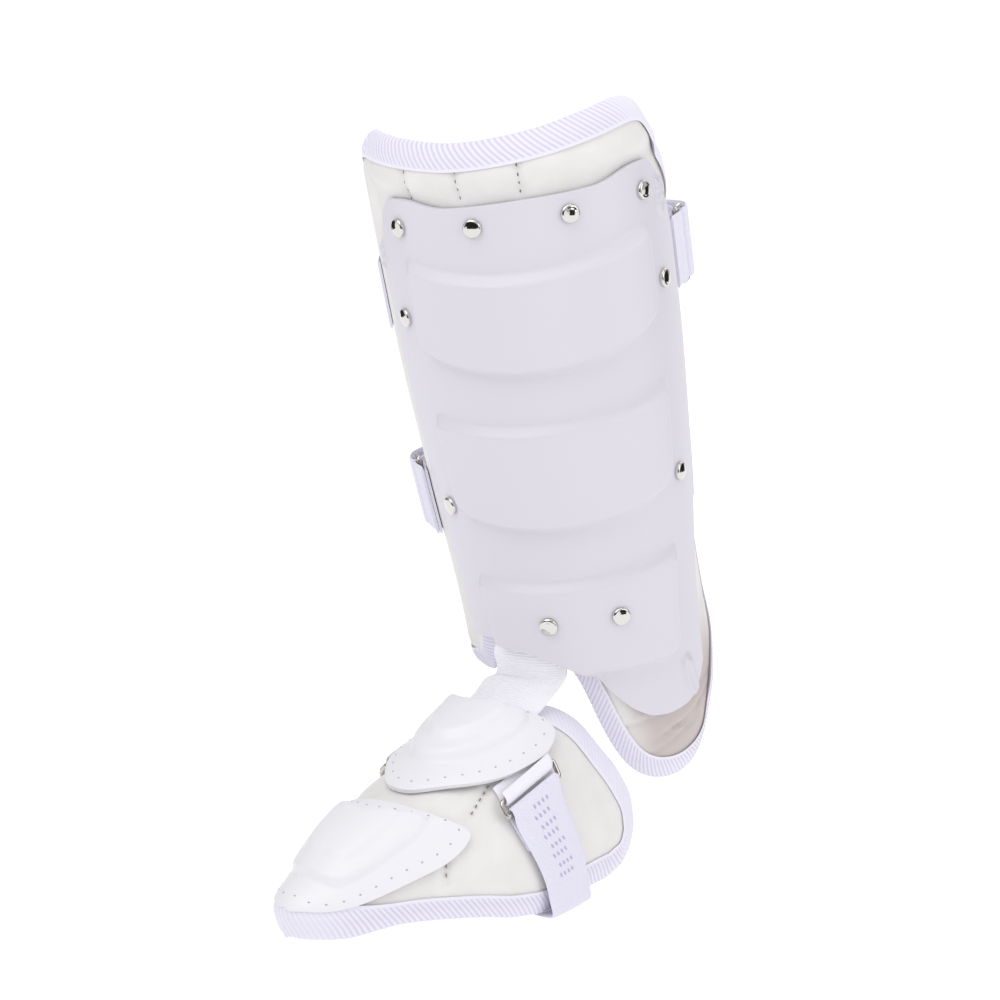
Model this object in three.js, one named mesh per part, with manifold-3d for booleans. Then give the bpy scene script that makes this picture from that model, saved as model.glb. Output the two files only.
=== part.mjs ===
// A batter's guard for the right shin and foot, in the shape it has when worn: a padded plastic shin
// guard, an elastic web over the instep and a padded foot cover with two moulded caps.
// Millimetres, +Z up, toes towards -Y, inner ankle towards +X. The origin is on the axis of the leg,
// level with the notch that the shin guard leaves over the instep.
import * as THREE from 'three';
import { mergeVertices } from 'three/addons/utils/BufferGeometryUtils.js';
import Module from 'manifold-3d';

const wasm = await Module();
wasm.setup();

// Shin guard: heights run along the leg from the notch, turns are degrees from the front of the leg
// towards the inner ankle
const calfRadius = 74.5;
const shellHeight = 234;
const padHeight = 263;
const earDrop = 85;
const leanForward = 10;
const leanOutward = 3;
const shellFacing = 43;
const shellHalfTurn = 78;
const shellWall = 3;
const panelRise = 5;
const panelSlope = 6;
const panelHalfShare = 0.63;
const padFacing = 41;
const padHalfTurn = 101;
const padGap = 0.9;
const padThickness = 10;
const padEdgeThickness = 3.4;
const padEdgeZone = 16;
const padSwell = 3.2;
const innerFlankSwell = 1.2;
const outerFlankSwell = 5;
const innerFlare = 6;
const bindingReach = 6;
const bindingWall = 1.2;
const bindingRoll = 3.2;
const bindingSwell = 1.6;

// Rivets
const rivetCap = 9.5;
const rivetCapHeight = 2.3;
const rivetShank = 4.4;
const rivetGrip = 8;

// Calf straps and the rings they turn back through
const strapWidth = 36;
const strapThickness = 1.3;
const strapBulge = 12;
const upperStrapHeight = 180;
const lowerStrapHeight = 68;
const wireDiameter = 2.6;
const ringSlack = 8;

// Web over the instep
const webHalfTurn = 20.5;
const webFacing = 9.5;
const webThickness = 1.3;

// Foot cover: lengths run forward from the axis of the leg, turns run round the foot from its ridge
const footLength = 211;
const footHeight = 92;
const footHalfWidth = 61;
const soleDrop = 134;
const footToeOut = 3;
const footThickness = 7;
const footEdgeThickness = 3;
const footEdgeZone = 14;
const footEdgeLift = 4;
const capWall = 2.2;
const instepCapHeight = 11;
const toeCapHeight = 9;
const stirrupWidth = 34;
const stirrupForward = 87;
const stirrupSlant = 12;
const stirrupRingTurn = 50;
const tabRingTurn = 43.2;

// Clearances between pieces that lie on each other, on the leg and on the tighter curves of the foot
const gap = 0.5;
const footPlay = 1.2;
const shinBindingPlay = 1.2;
const footBindingPlay = 2;

const toRadians = Math.PI / 180;

// A smooth value between the rows of a table, by the column that rises and the column that is read
function follow(rows, rising, read, place) {
  const last = rows.length - 1;
  if (place <= rows[0][rising]) return rows[0][read];
  if (place >= rows[last][rising]) return rows[last][read];
  let row = 0;
  while (rows[row + 1][rising] < place) row += 1;
  const step = (k) => (rows[k + 1][read] - rows[k][read]) / (rows[k + 1][rising] - rows[k][rising]);
  const slope = (k) => {
    if (k === 0) return step(0);
    if (k === last) return step(last - 1);
    const product = step(k - 1) * step(k);
    return product <= 0 ? 0 : (2 * product) / (step(k - 1) + step(k));
  };
  const width = rows[row + 1][rising] - rows[row][rising];
  const t = (place - rows[row][rising]) / width;
  const back = 1 - t;
  return (1 + 2 * t) * back * back * rows[row][read] + t * back * back * width * slope(row)
    + t * t * (3 - 2 * t) * rows[row + 1][read] - t * t * back * width * slope(row + 1);
}

const smooth = (from, to, value) => THREE.MathUtils.smoothstep((value - from) / (to - from), 0, 1);
const lerp = THREE.MathUtils.lerp;

// The outside of the shell: share of the shell's height against share of the calf's radius
const shinGirth = [
  { height: -0.4, radius: 0.82 },
  { height: -0.3, radius: 0.826 },
  { height: 0, radius: 0.839 },
  { height: 0.34, radius: 0.913 },
  { height: 0.68, radius: 0.977 },
  { height: 1.1, radius: 1 },
  { height: 1.5, radius: 1 },
];

// The lower edges by their turn, as shares of the ear's drop below the notch
const lowerEdges = [
  { turn: -60, pad: 0.07, shell: 0.05 },
  { turn: -56, pad: 0.2, shell: 0.05 },
  { turn: -49, pad: 0.28, shell: 0.05 },
  { turn: -40, pad: 0.29, shell: 0.05 },
  { turn: -31, pad: 0.25, shell: 0.03 },
  { turn: -24, pad: 0.15, shell: 0.01 },
  { turn: -17, pad: 0.04, shell: 0 },
  { turn: -9, pad: 0, shell: -0.01 },
  { turn: 3, pad: 0, shell: 0.01 },
  { turn: 14, pad: 0.01, shell: 0.035 },
  { turn: 22, pad: 0.05, shell: 0.07 },
  { turn: 28, pad: 0.11, shell: 0.11 },
  { turn: 33, pad: 0.17, shell: 0.15 },
  { turn: 37, pad: 0.26, shell: 0.18 },
  { turn: 41, pad: 0.4, shell: 0.21 },
  { turn: 45, pad: 0.56, shell: 0.25 },
  { turn: 50, pad: 0.72, shell: 0.34 },
  { turn: 56, pad: 0.85, shell: 0.43 },
  { turn: 63, pad: 0.93, shell: 0.51 },
  { turn: 72, pad: 0.98, shell: 0.57 },
  { turn: 83, pad: 1, shell: 0.59 },
  { turn: 94, pad: 0.985, shell: 0.58 },
  { turn: 104, pad: 0.95, shell: 0.51 },
  { turn: 112, pad: 0.9, shell: 0.4 },
  { turn: 119, pad: 0.82, shell: 0.28 },
  { turn: 125, pad: 0.7, shell: 0.2 },
  { turn: 130, pad: 0.55, shell: 0.15 },
  { turn: 135, pad: 0.36, shell: 0.1 },
  { turn: 139, pad: 0.17, shell: 0.05 },
  { turn: 142, pad: -0.05, shell: 0 },
];

// The pad's upper edge by its turn, as a share of the pad's height
const padUpperEdge = [
  { turn: -60, height: 0.87 },
  { turn: -57, height: 0.93 },
  { turn: -52, height: 0.97 },
  { turn: -45, height: 0.99 },
  { turn: -30, height: 0.995 },
  { turn: -5, height: 0.99 },
  { turn: 20, height: 0.982 },
  { turn: 50, height: 0.988 },
  { turn: 75, height: 1 },
  { turn: 96, height: 1.008 },
  { turn: 106, height: 0.998 },
  { turn: 114, height: 0.965 },
  { turn: 121, height: 0.92 },
  { turn: 128, height: 0.87 },
  { turn: 135, height: 0.815 },
  { turn: 142, height: 0.75 },
];

// How far the pad's inner flank stands off the leg towards its ends, as a share of the flare, by its
// height as a share of the shell's height
const flankFlare = [
  { height: -0.3, flare: 1 },
  { height: -0.12, flare: 0.9 },
  { height: 0, flare: 0.4 },
  { height: 0.2, flare: 0 },
  { height: 0.86, flare: 0 },
  { height: 0.93, flare: 0.6 },
  { height: 0.99, flare: 1 },
];

// The shell's upper edge by its share of the half turn, as a share of the shell's height
const shellUpperEdge = [
  { share: 0, height: 0.992 },
  { share: 0.45, height: 0.99 },
  { share: 0.8, height: 1.008 },
  { share: 0.93, height: 1.005 },
  { share: 1, height: 0.975 },
];

// The shell's half turn by height, as shares of its height and of its widest half turn
const shellSides = [
  { height: -0.25, turn: 0.82 },
  { height: -0.15, turn: 0.85 },
  { height: 0, turn: 0.89 },
  { height: 0.2, turn: 0.96 },
  { height: 0.45, turn: 1 },
  { height: 0.82, turn: 1 },
  { height: 0.88, turn: 0.97 },
  { height: 0.94, turn: 0.89 },
  { height: 0.98, turn: 0.84 },
  { height: 1.01, turn: 0.82 },
];

// The three raised panels: lower and upper edge at the middle and how far the edges rise at the
// panel's ends, as shares of the shell's height
const panels = [
  { low: -0.085, lowBow: 0, high: 0.15, highBow: 0.012 },
  { low: 0.262, lowBow: 0.04, high: 0.513, highBow: 0.022 },
  { low: 0.618, lowBow: 0.05, high: 0.845, highBow: 0.035 },
];

// Rivets in pairs either side of the shell's middle: height as a share of the shell's height and
// turn from the middle as a share of the shell's half turn
const rivetPairs = [
  { height: 0.947, turn: 0.69 },
  { height: 0.947, turn: 0.237 },
  { height: 0.745, turn: 0.788 },
  { height: 0.314, turn: 0.763 },
  { height: 0.053, turn: 0.2 },
];

// Half sections of the foot cover by their share of its length: shares of its half width and height
const footSections = [
  { along: -0.02, inner: 0.78, outer: 0.75, height: 1.22 },
  { along: 0.07, inner: 0.8, outer: 0.76, height: 1.2 },
  { along: 0.14, inner: 0.82, outer: 0.77, height: 1.13 },
  { along: 0.25, inner: 0.87, outer: 0.8, height: 1.03 },
  { along: 0.35, inner: 0.955, outer: 0.85, height: 0.93 },
  { along: 0.45, inner: 1, outer: 0.88, height: 0.81 },
  { along: 0.525, inner: 0.975, outer: 0.885, height: 0.71 },
  { along: 0.59, inner: 0.875, outer: 0.87, height: 0.63 },
  { along: 0.68, inner: 0.74, outer: 0.72, height: 0.505 },
  { along: 0.77, inner: 0.61, outer: 0.59, height: 0.4 },
  { along: 0.84, inner: 0.51, outer: 0.47, height: 0.315 },
  { along: 0.91, inner: 0.39, outer: 0.35, height: 0.22 },
  { along: 0.96, inner: 0.25, outer: 0.255, height: 0.15 },
  { along: 0.99, inner: 0.12, outer: 0.12, height: 0.075 },
  { along: 1, inner: 0, outer: 0, height: 0 },
];

// How far the foot cover's lower edge lifts off the ground, by its share of the length
const footEdgeLifts = [
  { along: 0, lift: 0.01 },
  { along: 0.42, lift: 0 },
  { along: 0.52, lift: 0.02 },
  { along: 0.62, lift: 0.05 },
  { along: 0.76, lift: 0.07 },
  { along: 0.9, lift: 0.055 },
  { along: 1, lift: 0.06 },
];

// The foot cover's back edge: share of the length by the turn from the ridge
const footBackEdge = [
  { turn: 0, along: 0.313 },
  { turn: 19, along: 0.265 },
  { turn: 28, along: 0.23 },
  { turn: 38, along: 0.193 },
  { turn: 51, along: 0.153 },
  { turn: 64, along: 0.1 },
  { turn: 73, along: 0.07 },
  { turn: 79, along: 0.067 },
  { turn: 84, along: 0.08 },
  { turn: 88, along: 0.11 },
  { turn: 90, along: 0.17 },
];

// Half outlines of the moulded caps from front to back: share of the foot's length and turn
const instepCapOutline = [
  { along: 0.648, turn: 0 },
  { along: 0.64, turn: 9 },
  { along: 0.612, turn: 17 },
  { along: 0.56, turn: 26 },
  { along: 0.488, turn: 33.5 },
  { along: 0.405, turn: 38 },
  { along: 0.335, turn: 40 },
  { along: 0.289, turn: 38 },
  { along: 0.277, turn: 33 },
  { along: 0.295, turn: 25 },
  { along: 0.333, turn: 13 },
  { along: 0.36, turn: 0 },
];
const toeCapOutline = [
  { along: 0.97, turn: 0 },
  { along: 0.963, turn: 30 },
  { along: 0.93, turn: 52 },
  { along: 0.885, turn: 59 },
  { along: 0.815, turn: 62 },
  { along: 0.735, turn: 62 },
  { along: 0.662, turn: 59.5 },
  { along: 0.61, turn: 54 },
  { along: 0.597, turn: 48 },
  { along: 0.63, turn: 35 },
  { along: 0.668, turn: 20 },
  { along: 0.687, turn: 0 },
];
const instepCapMiddle = 0.415;
const toeCapMiddle = 0.785;

// A cap's section from its middle to its rim: share of the reach and share of the cap's height
const capProfile = [
  { reach: 0, height: 1 },
  { reach: 0.34, height: 0.93 },
  { reach: 0.44, height: 0.7 },
  { reach: 0.58, height: 0.62 },
  { reach: 0.68, height: 0.27 },
  { reach: 1, height: 0.23 },
];

// One closed solid from an outer and an inner sheet of points; a round grid closes on itself
function slab(rows, columns, outer, inner, round = false) {
  const points = [];
  const faces = [];
  for (const sheet of [outer, inner]) {
    for (let i = 0; i < rows; i += 1) {
      for (let j = 0; j < columns; j += 1) points.push(sheet(i, j));
    }
  }
  const at = (sheet, i, j) => sheet * rows * columns + i * columns + (j % columns);
  const quad = (a, b, c, d) => faces.push([a, b, c], [a, c, d]);
  const spans = round ? columns : columns - 1;
  for (let i = 0; i < rows - 1; i += 1) {
    for (let j = 0; j < spans; j += 1) {
      quad(at(0, i, j), at(0, i, j + 1), at(0, i + 1, j + 1), at(0, i + 1, j));
      quad(at(1, i, j), at(1, i + 1, j), at(1, i + 1, j + 1), at(1, i, j + 1));
    }
  }
  for (let j = 0; j < spans; j += 1) {
    if (!round) quad(at(0, 0, j), at(1, 0, j), at(1, 0, j + 1), at(0, 0, j + 1));
    quad(at(0, rows - 1, j), at(0, rows - 1, j + 1), at(1, rows - 1, j + 1), at(1, rows - 1, j));
  }
  for (let i = 0; i < rows - 1 && !round; i += 1) {
    quad(at(0, i, 0), at(0, i + 1, 0), at(1, i + 1, 0), at(1, i, 0));
    quad(at(0, i, columns - 1), at(1, i, columns - 1), at(1, i + 1, columns - 1), at(0, i + 1, columns - 1));
  }
  return closedGeometry(points, faces);
}

// A closed ring of equal sections, such as a wire or a rolled binding
function ringOfSections(sections) {
  const stations = sections.length;
  const sides = sections[0].length;
  const faces = [];
  for (let i = 0; i < stations; i += 1) {
    for (let j = 0; j < sides; j += 1) {
      const next = (i + 1) % stations;
      const beside = (j + 1) % sides;
      faces.push([i * sides + j, next * sides + j, next * sides + beside]);
      faces.push([i * sides + j, next * sides + beside, i * sides + beside]);
    }
  }
  return closedGeometry(sections.flat(), faces);
}

// Welds equal points, drops faces that vanish and turns the faces outwards
function closedGeometry(points, faces) {
  const keys = new Map();
  const kept = [];
  const index = points.map((p) => {
    const key = [p.x, p.y, p.z].map((value) => Math.round(value * 1e4)).join();
    if (!keys.has(key)) {
      keys.set(key, kept.length);
      kept.push(p);
    }
    return keys.get(key);
  });
  const solid = faces.map((face) => face.map((corner) => index[corner]))
    .filter(([a, b, c]) => a !== b && b !== c && c !== a);
  const volume = solid.reduce((sum, [a, b, c]) => sum
    + kept[a].dot(new THREE.Vector3().crossVectors(kept[b], kept[c])), 0);
  const turned = volume < 0 ? solid.map(([a, b, c]) => [a, c, b]) : solid;
  const geometry = new THREE.BufferGeometry();
  const coordinates = kept.flatMap((point) => [point.x, point.y, point.z]);
  geometry.setAttribute('position', new THREE.Float32BufferAttribute(coordinates, 3));
  geometry.setIndex(turned.flat());
  return geometry;
}

function toManifold(geometry) {
  const plain = new THREE.BufferGeometry();
  plain.setAttribute('position', geometry.getAttribute('position').clone());
  if (geometry.index) plain.setIndex(geometry.index.clone());
  const welded = mergeVertices(plain, 1e-4);
  return new wasm.Manifold(new wasm.Mesh({
    numProp: 3,
    vertProperties: new Float32Array(welded.getAttribute('position').array),
    triVerts: new Uint32Array(welded.index.array),
  }));
}

function fromManifold(solid) {
  const mesh = solid.getMesh();
  const geometry = new THREE.BufferGeometry();
  geometry.setAttribute('position', new THREE.BufferAttribute(new Float32Array(mesh.vertProperties), 3));
  geometry.setIndex(new THREE.BufferAttribute(new Uint32Array(mesh.triVerts), 1));
  return geometry;
}

// A band of even thickness round a grid of middle points, stations[i][j]
function band(stations, thickness) {
  const rows = stations.length;
  const columns = stations[0].length;
  const normal = (i, j) => {
    const along = new THREE.Vector3().subVectors(
      stations[Math.min(i + 1, rows - 1)][j], stations[Math.max(i - 1, 0)][j]);
    const across = new THREE.Vector3().subVectors(
      stations[i][Math.min(j + 1, columns - 1)], stations[i][Math.max(j - 1, 0)]);
    return along.cross(across).normalize();
  };
  const side = (offset) => (i, j) => stations[i][j].clone().addScaledVector(normal(i, j), offset);
  return slab(rows, columns, side(thickness / 2), side(-thickness / 2));
}

// A closed wire loop with round corners through the middles of its corners
function wireLoop(corners) {
  const cornerShare = 0.12;
  const path = corners.flatMap((corner, k) => {
    const before = corners[(k + corners.length - 1) % corners.length];
    const after = corners[(k + 1) % corners.length];
    const reach = cornerShare * Math.min(corner.distanceTo(before) * 3, corner.distanceTo(after) * 3);
    const inTo = corner.clone().add(before.clone().sub(corner).setLength(Math.min(reach, wireDiameter)));
    const outOf = corner.clone().add(after.clone().sub(corner).setLength(Math.min(reach, wireDiameter)));
    const middle = inTo.clone().add(outOf).lerp(corner.clone().multiplyScalar(2), 0.4).multiplyScalar(0.5);
    return [inTo, middle, outOf];
  });
  const centre = corners.reduce((sum, p) => sum.add(p), new THREE.Vector3()).divideScalar(corners.length);
  const wireSides = 6;
  const plane = new THREE.Vector3().subVectors(corners[1], corners[0])
    .cross(new THREE.Vector3().subVectors(corners[2], corners[1])).normalize();
  return ringOfSections(path.map((p, k) => {
    const before = path[(k + path.length - 1) % path.length];
    const ahead = path[(k + 1) % path.length].clone().sub(before).normalize();
    const outward = ahead.clone().cross(plane).normalize();
    if (outward.dot(p.clone().sub(centre)) < 0) outward.negate();
    return Array.from({ length: wireSides }, (_, side) => {
      const angle = (side / wireSides) * 2 * Math.PI;
      return p.clone().addScaledVector(outward, Math.cos(angle) * wireDiameter / 2)
        .addScaledVector(plane, Math.sin(angle) * wireDiameter / 2);
    });
  }));
}

// A point on the leg: turn in degrees, height along the leg, lift outwards from the shell's outside
function onLeg(turn, height, lift) {
  const radius = calfRadius * follow(shinGirth, 'height', 'radius', height / shellHeight) + lift;
  const angle = turn * toRadians;
  return new THREE.Vector3(radius * Math.sin(angle), -radius * Math.cos(angle), height);
}

const padLow = (turn) => -earDrop * follow(lowerEdges, 'turn', 'pad', turn);
const padHigh = (turn) => padHeight * follow(padUpperEdge, 'turn', 'height', turn);
const shellLow = (turn) => -earDrop * follow(lowerEdges, 'turn', 'shell', turn);

// How far the panels lift the shell at a share of its half turn and a height
function panelLift(share, height) {
  const side = Math.abs(share) / panelHalfShare;
  const ends = 1 - smooth(1, 1 + panelSlope / (panelHalfShare * shellHalfTurn), side);
  const inPanel = panels.map((panel) => {
    const low = shellHeight * (panel.low + panel.lowBow * side * side);
    const high = shellHeight * (panel.high + panel.highBow * side * side);
    return smooth(low, low + panelSlope, height) * (1 - smooth(high - panelSlope, high, height));
  });
  return panelRise * ends * Math.max(...inPanel);
}

function shellTurn(share, height) {
  return shellFacing + share * shellHalfTurn * follow(shellSides, 'height', 'turn', height / shellHeight);
}

function makeShell() {
  const half = [0.12, 0.26, 0.4, 0.52, 0.63, 0.71, 0.8, 0.88, 0.95, 1];
  const shares = [...half.map((share) => -share).reverse(), 0, ...half];
  const heights = shares.map((share) => {
    const side = Math.min(Math.abs(share) / panelHalfShare, 1.3);
    const edge = shellLow(shellTurn(share, 0));
    const top = shellHeight * follow(shellUpperEdge, 'share', 'height', Math.abs(share));
    const rows = [edge];
    const addAbove = (height, least) => rows.push(Math.max(height, rows[rows.length - 1] + least));
    panels.forEach((panel, k) => {
      const low = shellHeight * (panel.low + panel.lowBow * side * side);
      const high = shellHeight * (panel.high + panel.highBow * side * side);
      addAbove(low, 1);
      addAbove(low + panelSlope, panelSlope / 2);
      const belowHigh = high - panelSlope;
      if (k > 0) addAbove(lerp(rows[rows.length - 1], belowHigh, 0.5), 1);
      addAbove(belowHigh, 1);
      addAbove(high, 1);
      const above = k < panels.length - 1 ? shellHeight * panels[k + 1].low : top;
      addAbove(lerp(high, above, 0.5), 1);
    });
    rows.push(top - panelSlope / 2, top);
    return rows;
  });
  const sheet = (depth) => (i, j) => {
    const height = heights[j][i];
    return onLeg(shellTurn(shares[j], height), height, panelLift(shares[j], height) - depth);
  };
  return slab(heights[0].length, shares.length, sheet(0), sheet(shellWall));
}

const rivets = rivetPairs.flatMap((pair) => [-1, 1].map((side) => {
  const height = pair.height * shellHeight;
  return {
    height,
    turn: shellFacing + side * pair.turn * shellHalfTurn,
    lift: panelLift(side * pair.turn, height),
  };
}));

// Stands a piece that is drawn along +Z on the leg, its axis pointing out
function standOnLeg(geometry, turn, height, lift) {
  const outward = new THREE.Vector3(Math.sin(turn * toRadians), -Math.cos(turn * toRadians), 0);
  const turned = new THREE.Quaternion().setFromUnitVectors(new THREE.Vector3(0, 0, 1), outward);
  const place = new THREE.Matrix4().makeRotationFromQuaternion(turned);
  place.setPosition(onLeg(turn, height, lift));
  return geometry.clone().applyMatrix4(place);
}

function drilled(geometry, bore, depth) {
  const drillLength = 30;
  const drill = new THREE.CylinderGeometry(bore / 2, bore / 2, drillLength, 8).rotateX(Math.PI / 2);
  drill.deleteAttribute('normal');
  drill.deleteAttribute('uv');
  const holes = rivets.map((rivet) => toManifold(
    standOnLeg(drill, rivet.turn, rivet.height, drillLength / 2 - depth)));
  return fromManifold(holes.reduce((solid, hole) => solid.subtract(hole), toManifold(geometry)));
}

function makeRivet(rivet) {
  const headRadius = rivetCap / 2;
  const shankRadius = rivetShank / 2;
  const bevel = rivetCapHeight * 0.45;
  const profile = [
    [0, -rivetGrip - rivet.lift],
    [shankRadius, -rivetGrip - rivet.lift],
    [shankRadius, 0],
    [headRadius, 0],
    [headRadius, rivetCapHeight - bevel],
    [headRadius - bevel, rivetCapHeight],
    [0, rivetCapHeight],
  ].map(([x, y]) => new THREE.Vector2(x, y));
  const turned = new THREE.LatheGeometry(profile, 9).rotateX(Math.PI / 2);
  return standOnLeg(turned, rivet.turn, rivet.height, rivet.lift + gap);
}

// The pad's grid: columns at the turns of the lower edge's table, rows from its lower to its upper edge
const padOuter = -shellWall - padGap;
const padMiddle = padOuter - padThickness / 2;
const edgesHalfTurn = (lowerEdges[lowerEdges.length - 1].turn - lowerEdges[0].turn) / 2;
const padTurns = lowerEdges.map((row) => padFacing + (row.turn - padFacing) * padHalfTurn / edgesHalfTurn);
const padEdgeRows = [0, 7, 16];
const padRowShares = [0.3, 0.6, 0.87, 1];

function padHeights(turn) {
  const low = padLow(turn);
  const high = padHigh(turn);
  const first = padEdgeRows[padEdgeRows.length - 1];
  const covered = Math.min(shellHeight * 1.02, high - first * 1.3);
  const body = padRowShares.map((share) => lerp(low + first, covered, share));
  return [...padEdgeRows.map((d) => low + d), ...body, ...padEdgeRows.map((d) => high - d).reverse()];
}

// The pad's outline, laid flat: across in mm round the leg, up in mm along it
const padGrid = padTurns.map((turn) => padHeights(turn).map((height) => ({ turn, height })));
const padRows = padGrid[0].length;
const padOutline = [
  ...padGrid.map((column) => column[0]),
  ...padGrid[padGrid.length - 1].slice(1, -1),
  ...padGrid.map((column) => column[padRows - 1]).reverse(),
  ...padGrid[0].slice(1, -1).reverse(),
];
const flatScale = toRadians * calfRadius * 0.9;
const laidFlat = (place) => new THREE.Vector2(place.turn * flatScale, place.height);

function distanceToOutline(place) {
  const point = laidFlat(place);
  return Math.min(...padOutline.map((start, k) => {
    const from = laidFlat(start);
    const line = laidFlat(padOutline[(k + 1) % padOutline.length]).sub(from);
    const share = THREE.MathUtils.clamp(point.clone().sub(from).dot(line) / line.lengthSq(), 0, 1);
    return point.distanceTo(from.addScaledVector(line, share));
  }));
}

// The pad swells outwards where the shell doesn't cover it, and its inner flank splays at both ends
const flankSwell = (turn) => lerp(outerFlankSwell, innerFlankSwell,
  smooth(-0.4, 0.4, Math.sin((turn - padFacing) * toRadians)));

function swellOfPad(place) {
  const over = smooth(shellHeight * 1.02, shellHeight * 1.06, place.height);
  const side = Math.abs(place.turn - shellFacing) / shellHalfTurn;
  return Math.max(padSwell * over, flankSwell(place.turn) * smooth(1.03, 1.12, side));
}

const onPad = (turn, height, lift) => onLeg(turn, height, lift + innerFlare
  * smooth(0.88, 1.2, (turn - shellFacing) / shellHalfTurn)
  * follow(flankFlare, 'height', 'flare', height / shellHeight));

const padTaper = (distance) => Math.min(distance / padEdgeZone, 1);

function makeShinPad() {
  const half = padGrid.map((column) => column.map((place) => lerp(
    padEdgeThickness, padThickness, padTaper(distanceToOutline(place))) / 2));
  const sheet = (side) => (i, j) => {
    const place = padGrid[j][i];
    return onPad(place.turn, place.height, padMiddle + side * half[j][i]
      + (side > 0 ? swellOfPad(place) * padTaper(distanceToOutline(place)) : 0));
  };
  return slab(padRows, padGrid.length, sheet(1), sheet(-1));
}

// The binding's section: inward reach over the pad's edge and lift from the middle of the pad. Its lips
// open with the pad, which grows from its edge to its full thickness
function bindingSection(edge, full, zone, swell, play) {
  const slot = edge / 2 + play;
  const mouth = lerp(edge, full, bindingReach / zone) / 2 + play;
  const back = slot + bindingWall;
  return [
    { inward: bindingReach, lift: mouth + bindingWall + swell * 0.7 },
    { inward: 0, lift: back + swell },
    { inward: -bindingRoll * 0.7, lift: back * 0.6 + swell },
    { inward: -bindingRoll, lift: 0 },
    { inward: -bindingRoll * 0.7, lift: -back * 0.6 },
    { inward: 0, lift: -back },
    { inward: bindingReach, lift: -mouth - bindingWall },
    { inward: bindingReach, lift: -mouth },
    { inward: -gap, lift: -slot },
    { inward: -gap, lift: slot },
    { inward: bindingReach, lift: mouth + swell * 0.5 },
  ];
}

function makeShinBinding() {
  const stations = padOutline.length;
  return ringOfSections(padOutline.map((place, k) => {
    const before = laidFlat(padOutline[(k + stations - 1) % stations]);
    const after = laidFlat(padOutline[(k + 1) % stations]);
    const ahead = after.sub(before).normalize();
    const inward = new THREE.Vector2(-ahead.y, ahead.x);
    const high = smooth(shellHeight * 1.03, shellHeight * 1.08, place.height);
    const onEar = smooth(shellFacing - 5, shellFacing + 2, place.turn)
      * smooth(0.25, 0.45, -place.height / earDrop);
    const swell = Math.max(bindingSwell * Math.max(high, onEar), swellOfPad(place) * 0.85);
    const section = bindingSection(padEdgeThickness, padThickness, padEdgeZone, swell, shinBindingPlay);
    return section.map((corner) => {
      const flat = laidFlat(place).addScaledVector(inward, corner.inward);
      return onPad(flat.x / flatScale, flat.y, padMiddle + corner.lift);
    });
  }));
}

// A calf strap's run round the leg: turn from the pad's middle as a share of the pad's half turn, and
// lift as a share of the bulge where it turns back through its ring
const sewnLift = padOuter + gap + strapThickness / 2;
const legLift = padOuter - padThickness + strapThickness;
const strapRun = [
  { turn: 1.48, bulge: 0.15, leg: 1 },
  { turn: 1.41, bulge: 0.2, leg: 0.93 },
  { turn: 1.32, bulge: 0.33, leg: 0.75 },
  { turn: 1.22, bulge: 0.58, leg: 0.45 },
  { turn: 1.13, bulge: 0.86, leg: 0.17 },
  { turn: 1.06, bulge: 1, leg: 0 },
  { turn: 1.01, bulge: 0.9, leg: 0 },
];
const strapInnerRun = [
  { turn: 1.05, bulge: 0.26, leg: 0.0 },
  { turn: 1.13, bulge: 0.17, leg: 0.17 },
  { turn: 1.22, bulge: 0.1, leg: 0.45 },
  { turn: 1.32, bulge: 0.03, leg: 0.77 },
  { turn: 1.41, bulge: 0.0, leg: 0.94 },
  { turn: 1.5, bulge: 0, leg: 1 },
  { turn: 1.64, bulge: 0, leg: 1 },
  { turn: 1.78, bulge: 0, leg: 1 },
  { turn: 1.92, bulge: 0, leg: 1 },
  { turn: 2.06, bulge: 0, leg: 1 },
  { turn: 2.2, bulge: 0, leg: 1 },
  { turn: 2.3, bulge: 0, leg: 0.85 },
  { turn: 2.4, bulge: 0, leg: 0.5 },
  { turn: 2.485, bulge: 0, leg: 0.12 },
  { turn: 2.56, bulge: 0, leg: 0 },
  { turn: 2.64, bulge: 0, leg: 0 },
  { turn: 2.73, bulge: 0, leg: 0 },
];
const frontBar = { turn: 0.94, bulge: 0.32 };
const rearBar = { turn: 0.99, bulge: 0.6 };
const bendRadius = wireDiameter / 2 + gap + strapThickness / 2;

// Places round a bar, from one side of it to the other: degrees are counted from straight outwards,
// towards the sewn end of the run
function roundBar(bar, from, to, steps) {
  return Array.from({ length: steps + 1 }, (_, k) => {
    const angle = lerp(from, to, k / steps) * toRadians;
    return {
      turn: bar.turn * padHalfTurn - bendRadius * Math.sin(angle) / (calfRadius * toRadians),
      lift: sewnLift + bar.bulge * strapBulge + bendRadius * Math.cos(angle),
    };
  });
}

const runPlace = (row) => ({
  turn: row.turn * padHalfTurn,
  lift: lerp(sewnLift, legLift, row.leg) + row.bulge * strapBulge,
});

const strapPath = [
  ...strapRun.map(runPlace),
  ...roundBar(rearBar, 20, 170, 5),
  ...strapInnerRun.map(runPlace),
];
const tabLayers = strapThickness + gap * 0.8;
const tabPath = [
  { turn: 0.815 * padHalfTurn, lift: sewnLift + tabLayers },
  { turn: 0.85 * padHalfTurn, lift: sewnLift + tabLayers },
  { turn: 0.875 * padHalfTurn, lift: sewnLift + tabLayers + strapBulge * 0.08 },
  { turn: 0.9 * padHalfTurn, lift: sewnLift + tabLayers + strapBulge * 0.22 },
  ...roundBar(frontBar, 35, -145, 5),
  { turn: 0.915 * padHalfTurn, lift: sewnLift + strapBulge * 0.09 },
  { turn: 0.89 * padHalfTurn, lift: sewnLift },
  { turn: 0.85 * padHalfTurn, lift: sewnLift },
  { turn: 0.815 * padHalfTurn, lift: sewnLift },
];

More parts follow.
